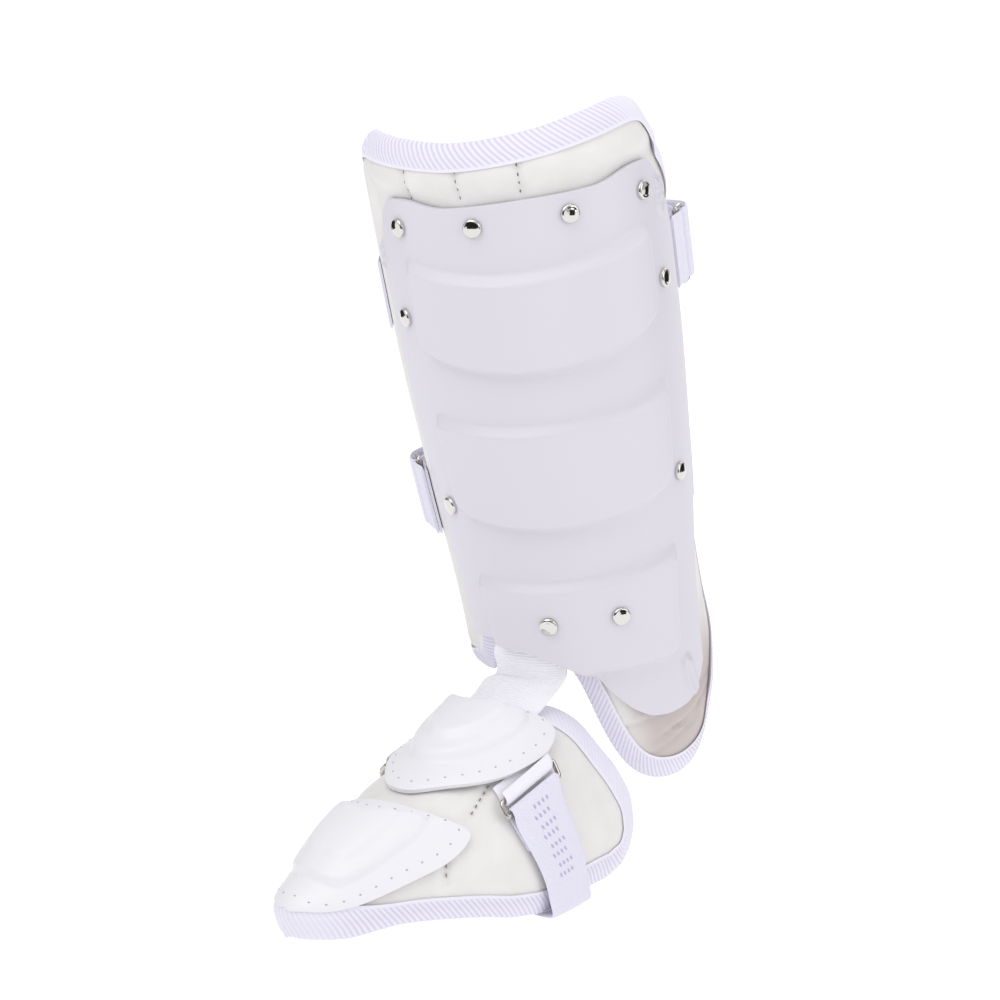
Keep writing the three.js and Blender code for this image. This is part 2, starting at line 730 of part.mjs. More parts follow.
function onFlank(turn, height, lift, side) {
  const around = padFacing + side * turn;
  return onLeg(around, height, lift + flankSwell(around));
}

function legBand(path, height, side) {
  const heights = [height - strapWidth / 2, height + strapWidth / 2];
  const stations = path.map((place) => heights.map((h) => onFlank(place.turn, h, place.lift, side)));
  return band(stations, strapThickness);
}

function strapRing(height, side) {
  const barPlace = (bar, up) => onFlank(bar.turn * padHalfTurn,
    height + up * (strapWidth + ringSlack) / 2, sewnLift + bar.bulge * strapBulge, side);
  return wireLoop([
    barPlace(frontBar, -1),
    barPlace(rearBar, -1),
    barPlace(rearBar, 1),
    barPlace(frontBar, 1),
  ]);
}

// A point on the foot in the foot's own frame, sole at z = 0: forward in mm, turn in degrees from the
// ridge, positive to the inner side, lift outwards from the cover's outside
function onFoot(forward, turn, lift) {
  const share = forward / footLength;
  const sideColumn = turn < 0 ? 'outer' : 'inner';
  const halfWidth = footHalfWidth * follow(footSections, 'along', sideColumn, share);
  const edge = footEdgeLift + footHeight * follow(footEdgeLifts, 'along', 'lift', share);
  const rise = footHeight * follow(footSections, 'along', 'height', share);
  const noseRound = 12;
  const full = (size) => size / Math.hypot(size, noseRound);
  const nose = noseRound / Math.hypot(halfWidth, noseRound);
  const angle = turn * toRadians;
  return new THREE.Vector3(
    (halfWidth + lift * full(halfWidth)) * Math.sin(angle),
    -forward - lift * nose,
    edge + (rise + lift * full(rise)) * Math.cos(angle),
  );
}

// Length round the foot for one degree of turn
function girthStep(forward, turn) {
  const share = forward / footLength;
  const width = footHalfWidth * follow(footSections, 'along', turn < 0 ? 'outer' : 'inner', share);
  const rise = footHeight * follow(footSections, 'along', 'height', share);
  return Math.hypot(width, rise) * Math.SQRT1_2 * toRadians;
}

// The foot cover's grid: turns across, and steps from the back edge to the tip
const footTurns = [14, 27, 39, 50, 60, 69, 76, 83.5, 90];
const footColumns = [...footTurns.map((turn) => -turn).reverse(), 0, ...footTurns];
const footSteps = [0.03, 0.08, 0.15, 0.25, 0.36, 0.47, 0.58, 0.69, 0.8, 0.89, 0.95, 0.985, 1];
const footBack = (turn) => footLength * follow(footBackEdge, 'turn', 'along', Math.abs(turn));
const footPlaces = footColumns.map((turn) => [0, ...footSteps].map((share) => (
  { turn, forward: lerp(footBack(turn), footLength, share) })));
const footRows = footPlaces[0].length;
const footOutline = [
  ...footPlaces.map((column) => column[0]),
  ...footPlaces[footPlaces.length - 1].slice(1),
  ...footPlaces[0].slice(1, -1).reverse(),
];
const footMiddle = -footThickness / 2;

function distanceToFootEdge(place) {
  const turns = [-5, -2, 0, 2, 5].map((step) => THREE.MathUtils.clamp(place.turn + step, -90, 90));
  const backwards = Math.min(...turns.map((turn) => Math.hypot(
    place.forward - footBack(turn), (place.turn - turn) * girthStep(place.forward, turn))));
  const sideways = (90 - Math.abs(place.turn)) * girthStep(place.forward, place.turn);
  return Math.min(backwards, sideways, footLength - place.forward);
}

function makeFootPad() {
  const half = footPlaces.map((column) => column.map((place) => lerp(footEdgeThickness, footThickness,
    Math.min(distanceToFootEdge(place) / footEdgeZone, 1)) / 2));
  const sheet = (side) => (i, j) => {
    const place = footPlaces[j][i];
    return onFoot(place.forward, place.turn, footMiddle + side * half[j][i]);
  };
  return slab(footRows, footPlaces.length, sheet(1), sheet(-1));
}

// The place at a reach inwards from the foot cover's outline
function inwardPlace(k, reach) {
  const place = footOutline[k];
  if (place.forward > footLength * 0.999) return { forward: footLength - reach, turn: 0 };
  const count = footOutline.length;
  const [before, after] = [footOutline[(k + count - 1) % count], footOutline[(k + 1) % count]];
  const scale = girthStep(place.forward, place.turn);
  const atTip = (other) => (other.forward > footLength * 0.999 ? place.turn : other.turn);
  const ahead = new THREE.Vector2((atTip(after) - atTip(before)) * scale, after.forward - before.forward)
    .normalize();
  const mostTurn = 60;
  return {
    forward: place.forward + ahead.x * reach,
    turn: place.turn - THREE.MathUtils.clamp(ahead.y * reach / scale, -mostTurn, mostTurn),
  };
}

function makeFootBinding() {
  return ringOfSections(footOutline.map((place, k) => bindingSection(
    footEdgeThickness, footThickness, footEdgeZone, 0, footBindingPlay).map((corner) => {
    const inside = inwardPlace(k, Math.max(corner.inward, 0));
    const point = onFoot(inside.forward, inside.turn, footMiddle + corner.lift);
    if (corner.inward >= 0) return point;
    const reached = inwardPlace(k, bindingReach);
    const outward = point.clone().sub(onFoot(reached.forward, reached.turn, footMiddle + corner.lift));
    return point.addScaledVector(outward.normalize(), -corner.inward);
  })));
}

// A moulded cap on the foot, hollow under its dome, its rim on the outline
function makeCap(outline, middle, rise, baseLift) {
  const back = outline.slice(1, -1).reverse().map((row) => ({ along: row.along, turn: -row.turn }));
  const rim = [...outline, ...back];
  const sheet = (depth) => (i, j) => {
    const { reach, height } = capProfile[i];
    const forward = footLength * lerp(middle, rim[j].along, reach);
    const lift = Math.max(height * rise - depth, 0);
    return onFoot(forward, lerp(0, rim[j].turn, reach), baseLift(forward) + lift);
  };
  return slab(capProfile.length, rim.length, sheet(0), sheet(capWall), true);
}

const webOnFoot = footPlay + webThickness / 2;
const instepLift = (forward) => footPlay + (webThickness + 2 * gap) * smooth(
  footLength * 0.62, footLength * 0.52, forward);

// The stirrup's section round the foot: turn and lift, from the sewn end of the inner layer, round the
// ring's lower bar, down the side of the foot and under it
const footBend = wireDiameter / 2 + gap * 1.5 + strapThickness / 2;
const ringLift = footBend + footPlay + strapThickness / 2;

function roundFootBar(turn, from, to, steps) {
  return Array.from({ length: steps + 1 }, (_, k) => {
    const angle = lerp(from, to, k / steps) * toRadians;
    return {
      turn: turn - footBend * Math.sin(angle) / girthStep(stirrupForward, turn),
      lift: ringLift + footBend * Math.cos(angle),
      straight: true,
    };
  });
}

const stirrupInner = footPlay + strapThickness / 2;
const stirrupOuter = stirrupInner + strapThickness + gap;
const stirrupSide = [
  { turn: 66, lift: stirrupInner },
  { turn: 60, lift: stirrupInner },
  { turn: 54, lift: stirrupInner },
  ...roundFootBar(stirrupRingTurn, 180, 0, 5),
  { turn: 54.5, lift: stirrupOuter + 1.4 },
  { turn: 60, lift: stirrupOuter + 0.3 },
  { turn: 67, lift: stirrupOuter },
  { turn: 74, lift: stirrupOuter },
  { turn: 81, lift: stirrupOuter + 0.4 },
  { turn: 86.5, lift: stirrupOuter + 0.9 },
];
const soleShares = [1, 0.92, 0.55, 0];

function stirrupForwardAt(turn, across) {
  const slant = smooth(stirrupRingTurn, 90, Math.abs(turn));
  return stirrupForward - stirrupSlant * slant + across * stirrupWidth / 2;
}

// A line of points across the stirrup; where it turns round a bar it is as straight as the bar
function acrossStirrup(place, side, acrosses) {
  const point = (across) => onFoot(stirrupForwardAt(place.turn, across), side * place.turn, place.lift);
  if (!place.straight) return acrosses.map(point);
  return acrosses.map((across) => point(-1).lerp(point(1), (across + 1) / 2));
}

function makeStirrup() {
  const acrosses = [-1, 0, 1];
  const underSole = -gap - strapThickness / 2;
  const sideStations = (side) => stirrupSide.map((place) => acrossStirrup(place, side, acrosses));
  const soleStations = (side) => soleShares.map((share, k) => acrosses.map((across) => {
    const forward = stirrupForwardAt(90, across);
    const edge = onFoot(forward, side * 90, stirrupOuter + 1.2);
    const z = k === 0 ? underSole + strapThickness * 0.9 : underSole;
    return new THREE.Vector3(edge.x * share, -forward, z);
  }));
  const inner = [...sideStations(1), ...soleStations(1)];
  const outer = [...sideStations(-1), ...soleStations(-1).slice(0, -1)].reverse();
  return band([...inner, ...outer], strapThickness);
}

function makeRingTab(side) {
  const path = [
    { turn: tabRingTurn - 8, lift: stirrupInner },
    { turn: tabRingTurn - 4, lift: stirrupInner },
    ...roundFootBar(tabRingTurn, 180, 360, 5),
    { turn: tabRingTurn - 2.6, lift: ringLift + footBend * 0.8, straight: true },
  ];
  return band(path.map((place) => acrossStirrup(place, side, [-1, 0, 1])), strapThickness);
}

function stirrupRing(side) {
  const corner = (turn, end) => {
    const [low, high] = acrossStirrup({ turn, lift: ringLift, straight: true }, side, [-1, 1]);
    const middle = low.clone().lerp(high, 0.5);
    const half = high.sub(low).setLength((stirrupWidth + ringSlack) / 2);
    return middle.addScaledVector(half, end);
  };
  return wireLoop([corner(tabRingTurn, -1), corner(stirrupRingTurn, -1), corner(stirrupRingTurn, 1),
    corner(tabRingTurn, 1)]);
}

// Materials, as the real pieces are: moulded plastic, synthetic leather, elastic, tape and nickel
const plastic = () => new THREE.MeshStandardMaterial({ color: '#ecebf2', roughness: 0.42, metalness: 0 });
const leather = () => new THREE.MeshStandardMaterial({ color: '#f3f0ea', roughness: 0.5, metalness: 0 });
const elastic = () => new THREE.MeshStandardMaterial({ color: '#e9e8f6', roughness: 0.85, metalness: 0 });
const tape = () => new THREE.MeshStandardMaterial({ color: '#f1f0f6', roughness: 0.75, metalness: 0 });
const nickel = () => new THREE.MeshStandardMaterial({ color: '#c9c6c0', roughness: 0.2, metalness: 1 });

const guard = new THREE.Group();
const shin = new THREE.Group();
const foot = new THREE.Group();
guard.add(shin, foot);

// The leg leans forward and a little outward over a foot that is turned out a little
const legAxis = new THREE.Vector3(
  -Math.tan(leanOutward * toRadians), -Math.tan(leanForward * toRadians), 1).normalize();
const legRight = new THREE.Vector3(1, 0, 0).addScaledVector(legAxis, -legAxis.x).normalize();
const legBack = new THREE.Vector3().crossVectors(legAxis, legRight);
shin.quaternion.setFromRotationMatrix(new THREE.Matrix4().makeBasis(legRight, legBack, legAxis));
foot.rotation.z = -footToeOut * toRadians;
foot.position.set(footLength * Math.sin(footToeOut * toRadians) * 0.25, 0, -soleDrop);
guard.updateMatrixWorld(true);

function add(group, name, geometry, material) {
  const mesh = new THREE.Mesh(geometry, material);
  mesh.name = name;
  group.add(mesh);
}

// The web's lines: from behind the shell, over the pad's edge, to the top of the foot
function makeWeb() {
  const onShin = [
    { share: 0.085, half: 0.56, lift: -0.4 },
    { share: 0.05, half: 0.58, lift: -1 },
    { share: 0.015, half: 0.62, lift: -2.25 },
    { share: -0.03, half: 1, lift: -1 },
    { share: -0.075, half: 1, lift: -0.8 },
  ];
  const onInstep = [
    { ahead: -0.055, lift: 5.9 },
    { ahead: -0.014, lift: webOnFoot + 1.4 },
    { ahead: 0.03, lift: webOnFoot },
    { ahead: 0.08, lift: webOnFoot },
  ];
  const steps = 20;
  const webTurns = { outer: 30, inner: 25 };
  const capBack = instepCapOutline.slice(-4).reverse();
  const lines = [-1, -0.5, 0, 0.5, 1].map((across) => {
    const turn = across * (across < 0 ? webTurns.outer : webTurns.inner);
    const rim = follow(capBack, 'turn', 'along', Math.abs(turn));
    const points = [
      ...onShin.map((row) => onLeg(webFacing + across * webHalfTurn * row.half, row.share * shellHeight,
        row.lift - webThickness / 2).applyMatrix4(shin.matrixWorld)),
      ...onInstep.map((row) => onFoot((rim + row.ahead) * footLength, turn, row.lift)
        .applyMatrix4(foot.matrixWorld)),
    ];
    return new THREE.CatmullRomCurve3(points, false, 'centripetal').getPoints(steps);
  });
  return band(Array.from({ length: steps + 1 }, (_, i) => lines.map((line) => line[i])), webThickness);
}

const holeClearance = 0.8;
add(shin, 'shin_shell', drilled(makeShell(), rivetShank + holeClearance, rivetGrip * 2), plastic());
add(shin, 'shin_pad', drilled(makeShinPad(), rivetShank + holeClearance, rivetGrip + gap), leather());
add(shin, 'shin_binding', makeShinBinding(), tape());
rivets.forEach((rivet, k) => {
  add(shin, `shell_rivet_${String(k + 1).padStart(2, '0')}`, makeRivet(rivet), nickel());
});
add(shin, 'calf_strap_upper', legBand(strapPath, upperStrapHeight, 1), elastic());
add(shin, 'calf_strap_lower', legBand(strapPath, lowerStrapHeight, -1), elastic());
add(shin, 'strap_tab_upper', legBand(tabPath, upperStrapHeight, 1), elastic());
add(shin, 'strap_tab_lower', legBand(tabPath, lowerStrapHeight, -1), elastic());
add(shin, 'strap_ring_upper', strapRing(upperStrapHeight, 1), nickel());
add(shin, 'strap_ring_lower', strapRing(lowerStrapHeight, -1), nickel());
add(guard, 'ankle_web', makeWeb(), elastic());
add(foot, 'foot_pad', makeFootPad(), leather());
add(foot, 'foot_binding', makeFootBinding(), tape());
add(foot, 'instep_cap', makeCap(instepCapOutline, instepCapMiddle, instepCapHeight, instepLift), plastic());
add(foot, 'toe_cap', makeCap(toeCapOutline, toeCapMiddle, toeCapHeight, () => footPlay), plastic());
add(foot, 'ring_tab_medial', makeRingTab(1), tape());
add(foot, 'ring_tab_lateral', makeRingTab(-1), tape());
add(foot, 'stirrup_ring_medial', stirrupRing(1), nickel());
add(foot, 'stirrup_ring_lateral', stirrupRing(-1), nickel());
add(foot, 'stirrup_strap', makeStirrup(), elastic());

export default guard;
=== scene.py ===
import math

import bmesh
import bpy
import numpy as np
from mathutils import Matrix, Vector


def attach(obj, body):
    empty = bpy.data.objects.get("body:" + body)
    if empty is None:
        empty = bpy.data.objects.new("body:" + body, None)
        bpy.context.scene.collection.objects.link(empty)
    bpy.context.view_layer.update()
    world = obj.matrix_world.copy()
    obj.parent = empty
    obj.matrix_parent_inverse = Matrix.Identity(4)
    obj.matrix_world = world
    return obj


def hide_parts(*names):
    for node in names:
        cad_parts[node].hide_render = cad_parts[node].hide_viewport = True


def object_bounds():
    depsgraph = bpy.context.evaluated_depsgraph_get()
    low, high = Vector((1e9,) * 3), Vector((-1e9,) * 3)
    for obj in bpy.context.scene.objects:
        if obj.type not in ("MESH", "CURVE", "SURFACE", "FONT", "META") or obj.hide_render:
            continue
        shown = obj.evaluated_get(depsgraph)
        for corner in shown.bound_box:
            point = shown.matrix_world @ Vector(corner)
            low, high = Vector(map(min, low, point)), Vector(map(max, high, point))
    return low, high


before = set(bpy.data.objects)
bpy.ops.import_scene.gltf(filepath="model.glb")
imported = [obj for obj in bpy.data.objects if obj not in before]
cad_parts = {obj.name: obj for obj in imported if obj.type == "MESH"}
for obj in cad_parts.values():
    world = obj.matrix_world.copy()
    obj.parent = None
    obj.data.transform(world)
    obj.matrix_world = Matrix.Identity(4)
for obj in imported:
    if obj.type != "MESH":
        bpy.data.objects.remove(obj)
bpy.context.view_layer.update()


# The shell is one sheet of white polyethylene, pressed over a form while hot. It has three raised
# panels across the shin and small oval bosses near its edges, and its cut edge is rounded off. It is
# drawn round the leg: turn in degrees from the front of the leg, height along it, lift outwards.
mm = 0.001
calf_radius = 74.5
shell_height = 234
ear_drop = 85
lean_forward = 10
lean_outward = 3
shell_facing = 43
shell_half_turn = 78
shell_wall = 3
shell_edge_round = 1.1
panel_rise = 5
panel_slope = 6.5
panel_foot = 3.8
panel_high_corner = 5
panel_low_corner = 13
panel_half_share = 0.63
boss_rise = 1.7
boss_foot = 1.35
boss_rim = 0.95
boss_dish = 0.75
boss_dish_floor = 0.4
boss_dish_share = 0.45
sharp_angle = 62
cut_edge_angle = 55

shin_girth = [
    dict(height=-0.4, radius=0.82),
    dict(height=-0.3, radius=0.826),
    dict(height=0, radius=0.839),
    dict(height=0.34, radius=0.913),
    dict(height=0.68, radius=0.977),
    dict(height=1.1, radius=1),
    dict(height=1.5, radius=1),
]
shell_lower_edge = [
    dict(turn=-60, drop=0.05),
    dict(turn=-40, drop=0.05),
    dict(turn=-31, drop=0.03),
    dict(turn=-24, drop=0.01),
    dict(turn=-17, drop=0),
    dict(turn=-9, drop=-0.01),
    dict(turn=3, drop=0.01),
    dict(turn=14, drop=0.035),
    dict(turn=28, drop=0.11),
    dict(turn=37, drop=0.18),
    dict(turn=45, drop=0.25),
    dict(turn=50, drop=0.34),
    dict(turn=56, drop=0.43),
    dict(turn=63, drop=0.51),
    dict(turn=72, drop=0.57),
    dict(turn=83, drop=0.59),
    dict(turn=94, drop=0.58),
    dict(turn=104, drop=0.51),
    dict(turn=112, drop=0.4),
    dict(turn=119, drop=0.28),
    dict(turn=130, drop=0.15),
    dict(turn=142, drop=0),
]
shell_upper_edge = [
    dict(share=0, height=0.992),
    dict(share=0.45, height=0.99),
    dict(share=0.8, height=1.008),
    dict(share=0.93, height=1.005),
    dict(share=1, height=0.975),
]
shell_sides = [
    dict(height=-0.25, turn=0.82),
    dict(height=-0.15, turn=0.85),
    dict(height=0, turn=0.89),
    dict(height=0.2, turn=0.96),
    dict(height=0.45, turn=1),
    dict(height=0.82, turn=1),
    dict(height=0.88, turn=0.97),
    dict(height=0.94, turn=0.89),
    dict(height=0.98, turn=0.84),
    dict(height=1.01, turn=0.82),
]
panels = [
    dict(low=-0.085, low_bow=0, high=0.15, high_bow=0.012),
    dict(low=0.262, low_bow=0.04, high=0.513, high_bow=0.022),
    dict(low=0.618, low_bow=0.05, high=0.845, high_bow=0.035),
]
bosses = [
    dict(turn=110, height=215, long=9, wide=3.4, tilt=6),
    dict(turn=-34, height=207, long=9, wide=3.4, tilt=-6),
    dict(turn=95, height=-36, long=11, wide=4, tilt=-16),
]


def follow(rows, rising, read, place):
    """A smooth value between the rows of a table, at many places at once"""
    x = np.array([row[rising] for row in rows], float)
    y = np.array([row[read] for row in rows], float)
    place = np.clip(np.asarray(place, float), x[0], x[-1])
    step = np.diff(y) / np.diff(x)
    product = step[:-1] * step[1:]
    total = np.where(product > 0, step[:-1] + step[1:], 1)
    slope = np.concatenate([step[:1], np.where(product > 0, 2 * product / total, 0), step[-1:]])
    row = np.clip(np.searchsorted(x, place, side="right") - 1, 0, len(x) - 2)
    width = x[row + 1] - x[row]
    t = (place - x[row]) / width
    back = 1 - t
    return (
        (1 + 2 * t) * back**2 * y[row]
        + t * back**2 * width * slope[row]
        + t**2 * (3 - 2 * t) * y[row + 1]
        - t**2 * back * width * slope[row + 1]
    )


def smooth(low, high, value):
    """0 up to low and 1 from high on, with a soft rise between them"""
    t = np.clip((value - low) / (high - low), 0, 1)
    return t * t * (3 - 2 * t)


def mix(first, second, share):
    """The value at a share of the way from the first to the second"""
    return first + (second - first) * share


leg_axis = Vector((-math.tan(math.radians(lean_outward)), -math.tan(math.radians(lean_forward)), 1))
leg_axis.normalize()
leg_right = (Vector((1, 0, 0)) - leg_axis * leg_axis.x).normalized()
leg_frame = np.array([leg_right, leg_axis.cross(leg_right), leg_axis])


def on_leg(turn, height, lift):
    """Points on the leg, in metres"""
    turn, height, lift = np.broadcast_arrays(*(np.asarray(value, float) for value in (turn, height, lift)))
    radius = calf_radius * follow(shin_girth, "height", "radius", height / shell_height) + lift
    angle = np.radians(turn)
    flat = np.stack([radius * np.sin(angle), -radius * np.cos(angle), height], axis=-1)
    return flat @ leg_frame * mm


def sheet_mesh(name, columns, rows, chart, sides=(1, -1), cloth=lambda u, v: (u, v)):
    """A skin from one grid, or from two joined along their edges. The chart turns each vertex's shares
    along the grid and its side, outer 1 or inner -1, into its place, and cloth turns its shares into UV"""
    bm = bmesh.new()
    for side in sides:
        made = bmesh.ops.create_grid(bm, x_segments=columns, y_segments=rows, size=0.5)
        bmesh.ops.translate(bm, verts=made["verts"], vec=(0.5, 0.5, side))
    if len(sides) == 2:
        bmesh.ops.bridge_loops(bm, edges=[edge for edge in bm.edges if edge.is_boundary])
    mesh = bpy.data.meshes.new(name)
    bm.to_mesh(mesh)
    shares = np.empty(len(mesh.vertices) * 3)
    mesh.vertices.foreach_get("co", shares)
    u, v, side = shares.reshape(-1, 3).T
    corners = np.empty(len(mesh.loops), int)
    mesh.loops.foreach_get("vertex_index", corners)
    uv = np.stack(cloth(u[corners], v[corners]), axis=-1)
    mesh.uv_layers.new(name="cloth").data.foreach_set("uv", uv.ravel())
    mesh.vertices.foreach_set("co", chart(u, v, side).ravel())
    bm.clear()
    bm.from_mesh(mesh)
    bmesh.ops.remove_doubles(bm, verts=bm.verts, dist=1e-6)
    bmesh.ops.recalc_face_normals(bm, faces=bm.faces)
    bm.to_mesh(mesh)
    bm.free()
    mesh.polygons.foreach_set("use_smooth", [True] * len(mesh.polygons))
    mesh.set_sharp_from_angle(angle=math.radians(sharp_angle))
    return mesh


def show(name, mesh, material, slot, *nodes):
    """The finished piece: its mesh, its material, and the nodes that it stands for"""
    made = bpy.data.objects.new(name, mesh)
    bpy.context.scene.collection.objects.link(made)
    mesh.materials.append(material)
    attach(made, "root")
    if nodes:
        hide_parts(*nodes)
    return made


def ink(code):
    """An sRGB hex colour as a linear one"""
    parts = [int(code[k : k + 2], 16) / 255 for k in (1, 3, 5)]
    return [part / 12.92 if part <= 0.04045 else ((part + 0.055) / 1.055) ** 2.4 for part in parts] + [1]


def add(tree, kind, inputs, **settings):
    """A node with its settings, and each input a value or another node's output"""
    made = tree.nodes.new(kind)
    for name, value in settings.items():
        setattr(made, name, value)
    for name, value in inputs.items():
        if isinstance(value, bpy.types.NodeSocket):
            tree.links.new(value, made.inputs[name])
        else:
            made.inputs[name].default_value = value
    return made


def new_material(name, **values):
    """A material of one shader, with its constant values set on the shader's own sockets"""
    made = bpy.data.materials.new(name)
    made.use_nodes = True
    shader = made.node_tree.nodes["Principled BSDF"]
    for key, value in values.items():
        shader.inputs[key.replace("_", " ")].default_value = value
    return made, made.node_tree, shader


def shell_low(turn):
    """Height of the shell's lower edge"""
    return -ear_drop * follow(shell_lower_edge, "turn", "drop", turn)


def shell_turn(share, height):
    """Turn of a place on the shell, from its share across: -1 at the outer edge, 1 at the inner one"""
    reach = follow(shell_sides, "height", "turn", height / shell_height)
    return shell_facing + share * shell_half_turn * reach


def panel_lift(share, height):
    """How far the pressed panels stand out: each is a rounded oblong, with a slope along its edge"""
    side = np.abs(share) / panel_half_share
    beyond_side = (side - 1) * panel_half_share * shell_half_turn - panel_slope
    inside = 0
    for panel in panels:
        low = shell_height * (panel["low"] + panel["low_bow"] * side**2)
        high = shell_height * (panel["high"] + panel["high_bow"] * side**2)
        under, over = (low - height) * panel_slope / panel_foot, height - high
        corner = np.where(over > under, panel_high_corner, panel_low_corner)
        across, along = beyond_side + corner, np.maximum(under, over) + corner
        beyond = (np.hypot(np.maximum(across, 0), np.maximum(along, 0))
                  + np.minimum(np.maximum(across, along), 0) - corner)
        inside = np.maximum(inside, 1 - smooth(-panel_slope, 0, beyond))
    return panel_rise * inside


def boss_lift(turn, height):
    """How far the small oval bosses stand out, each a low rim round a shallow dish"""
    lift = 0
    for boss in bosses:
        tilt = math.radians(boss["tilt"])
        across = (turn - boss["turn"]) * math.radians(calf_radius)
        up = height - boss["height"]
        long = np.abs(up * math.cos(tilt) + across * math.sin(tilt)) / boss["long"]
        wide = np.abs(across * math.cos(tilt) - up * math.sin(tilt)) / boss["wide"]
        reach = np.sqrt(np.maximum(long - 1 + boss["wide"] / boss["long"], 0) ** 2
                        * (boss["long"] / boss["wide"]) ** 2 + wide**2)
        rim = smooth(boss_foot, boss_rim, reach)
        dish = boss_dish_share * smooth(boss_dish, boss_dish_floor, reach)
        lift = np.maximum(lift, boss_rise * (rim - dish))
    return lift


def shell_place(u, v, side):
    """The shell's chart, from its outer edge to its inner one and from its lower edge up"""
    share = 2 * u - 1
    low = shell_low(shell_turn(share, 0))
    high = shell_height * follow(shell_upper_edge, "share", "height", np.abs(share))
    height = mix(low, high, v)
    turn = shell_turn(share, height)
    lift = panel_lift(share, height) + boss_lift(turn, height) * (side > 0)
    return on_leg(turn, height, lift - shell_wall * (side < 0))


def rounded(made, width, segments=3):
    """Rounds a piece's cut edges"""
    bevel = made.modifiers.new("rounded edge", "BEVEL")
    bevel.width = width * mm
    bevel.segments = segments
    bevel.limit_method = "ANGLE"
    bevel.angle_limit = math.radians(cut_edge_angle)


# Pressed polyethylene: a cool white with a soft satin gloss, and a surface that is never quite flat
wave_width = 35.71
mould_grain = 1.111
polyethylene, tree, shader = new_material(
    "pressed_polyethylene", Base_Color=ink("#d7d4dd"), Roughness=0.4, IOR=1.5, Specular_IOR_Level=0.45)
place = add(tree, "ShaderNodeTexCoord", {})
waves = add(tree, "ShaderNodeTexNoise", {
    "Vector": place.outputs["Object"], "Scale": 1000 / wave_width, "Detail": 2})
grain = add(tree, "ShaderNodeTexNoise", {
    "Vector": place.outputs["Object"], "Scale": 1000 / mould_grain, "Detail": 3})
uneven = add(tree, "ShaderNodeBump", {"Height": waves.outputs[0], "Strength": 0.12, "Distance": 4 * mm})
fine = add(tree, "ShaderNodeBump", {
    "Height": grain.outputs[0], "Strength": 0.05, "Distance": 0.3 * mm, "Normal": uneven.outputs[0]})
tree.links.new(fine.outputs[0], shader.inputs["Normal"])

shell_columns, shell_rows = 120, 190
shell = show("pressed_shell", sheet_mesh("pressed_shell", shell_columns, shell_rows, shell_place),
             polyethylene, "shell_plastic", "shin_shell")
rounded(shell, shell_edge_round)


# The rivets are two-part caps of chromed steel, their heads pressed over the shell: a flat polished
# top, a rolled shoulder and a short skirt that bites into the plastic.
rivet_cap = 9.5
rivet_cap_height = 2.3
rivet_shoulder = 1.15
rivet_shoulder_reach = 1.25
rivet_crown = 0.55
rivet_skirt = 0.5
rivet_sides = 48
rivet_pairs = [
    dict(height=0.947, turn=0.69),
    dict(height=0.947, turn=0.237),
    dict(height=0.745, turn=0.788),
    dict(height=0.314, turn=0.763),
    dict(height=0.053, turn=0.2),
]

# Chrome plate: nearly a mirror, with the finest scratches from handling
scratch_width = 0.714
chrome, tree, shader = new_material("chrome_plate", Base_Color=ink("#d9d7d3"), Metallic=1, Roughness=0.09)
place = add(tree, "ShaderNodeTexCoord", {})
scratches = add(tree, "ShaderNodeTexNoise", {
    "Vector": place.outputs["Object"], "Scale": 1000 / scratch_width, "Detail": 2})
marks = add(tree, "ShaderNodeBump", {
    "Height": scratches.outputs[0], "Strength": 0.04, "Distance": 0.1 * mm})
tree.links.new(marks.outputs[0], shader.inputs["Normal"])


def smooth_mesh(name, bm):
    """The mesh of a finished bmesh, shaded smooth"""
    mesh = bpy.data.meshes.new(name)
    bm.to_mesh(mesh)
    bm.free()
    mesh.polygons.foreach_set("use_smooth", [True] * len(mesh.polygons))
    return mesh


def rivet_mesh(name):
    """A cap turned about +Z with its skirt's foot at the origin"""
    radius = rivet_cap / 2
    bm = bmesh.new()
    shoulder = [
        (
            radius - rivet_shoulder * (1 - math.cos(step)) * rivet_shoulder_reach,
            rivet_cap_height - rivet_shoulder * (1 - math.sin(step)),
        )
        for step in np.linspace(0, math.pi / 2, 7)
    ]
    flat = radius - rivet_shoulder * rivet_shoulder_reach
    crown = [(flat * share, rivet_cap_height + rivet_crown * (1 - share**2)) for share in (0.8, 0.55, 0.3, 0)]
    profile = [(radius * 0.9, -rivet_skirt), (radius, 0), *shoulder, *crown]
    line = [bm.verts.new((x, 0, z)) for x, z in profile]
    edges = [bm.edges.new(pair) for pair in zip(line, line[1:])]
    bmesh.ops.spin(bm, geom=line + edges, cent=(0, 0, 0), axis=(0, 0, 1), angle=2 * math.pi,
                   steps=rivet_sides, use_merge=True)
    bmesh.ops.remove_doubles(bm, verts=bm.verts, dist=1e-4)
    bmesh.ops.holes_fill(bm, edges=[edge for edge in bm.edges if edge.is_boundary], sides=0)
    bmesh.ops.recalc_face_normals(bm, faces=bm.faces)
    return smooth_mesh(name, bm)


def outward_at(turn, height, chart):
    """The place on a chart and the turn that stands +Z on it"""
    here, east, north = (
        Vector(chart(turn + step[0], height + step[1], 0)) for step in ((0, 0), (0.5, 0), (0, 0.5)))
    outward = (east - here).cross(north - here).normalized()
    return here, outward.to_track_quat("Z", "Y")


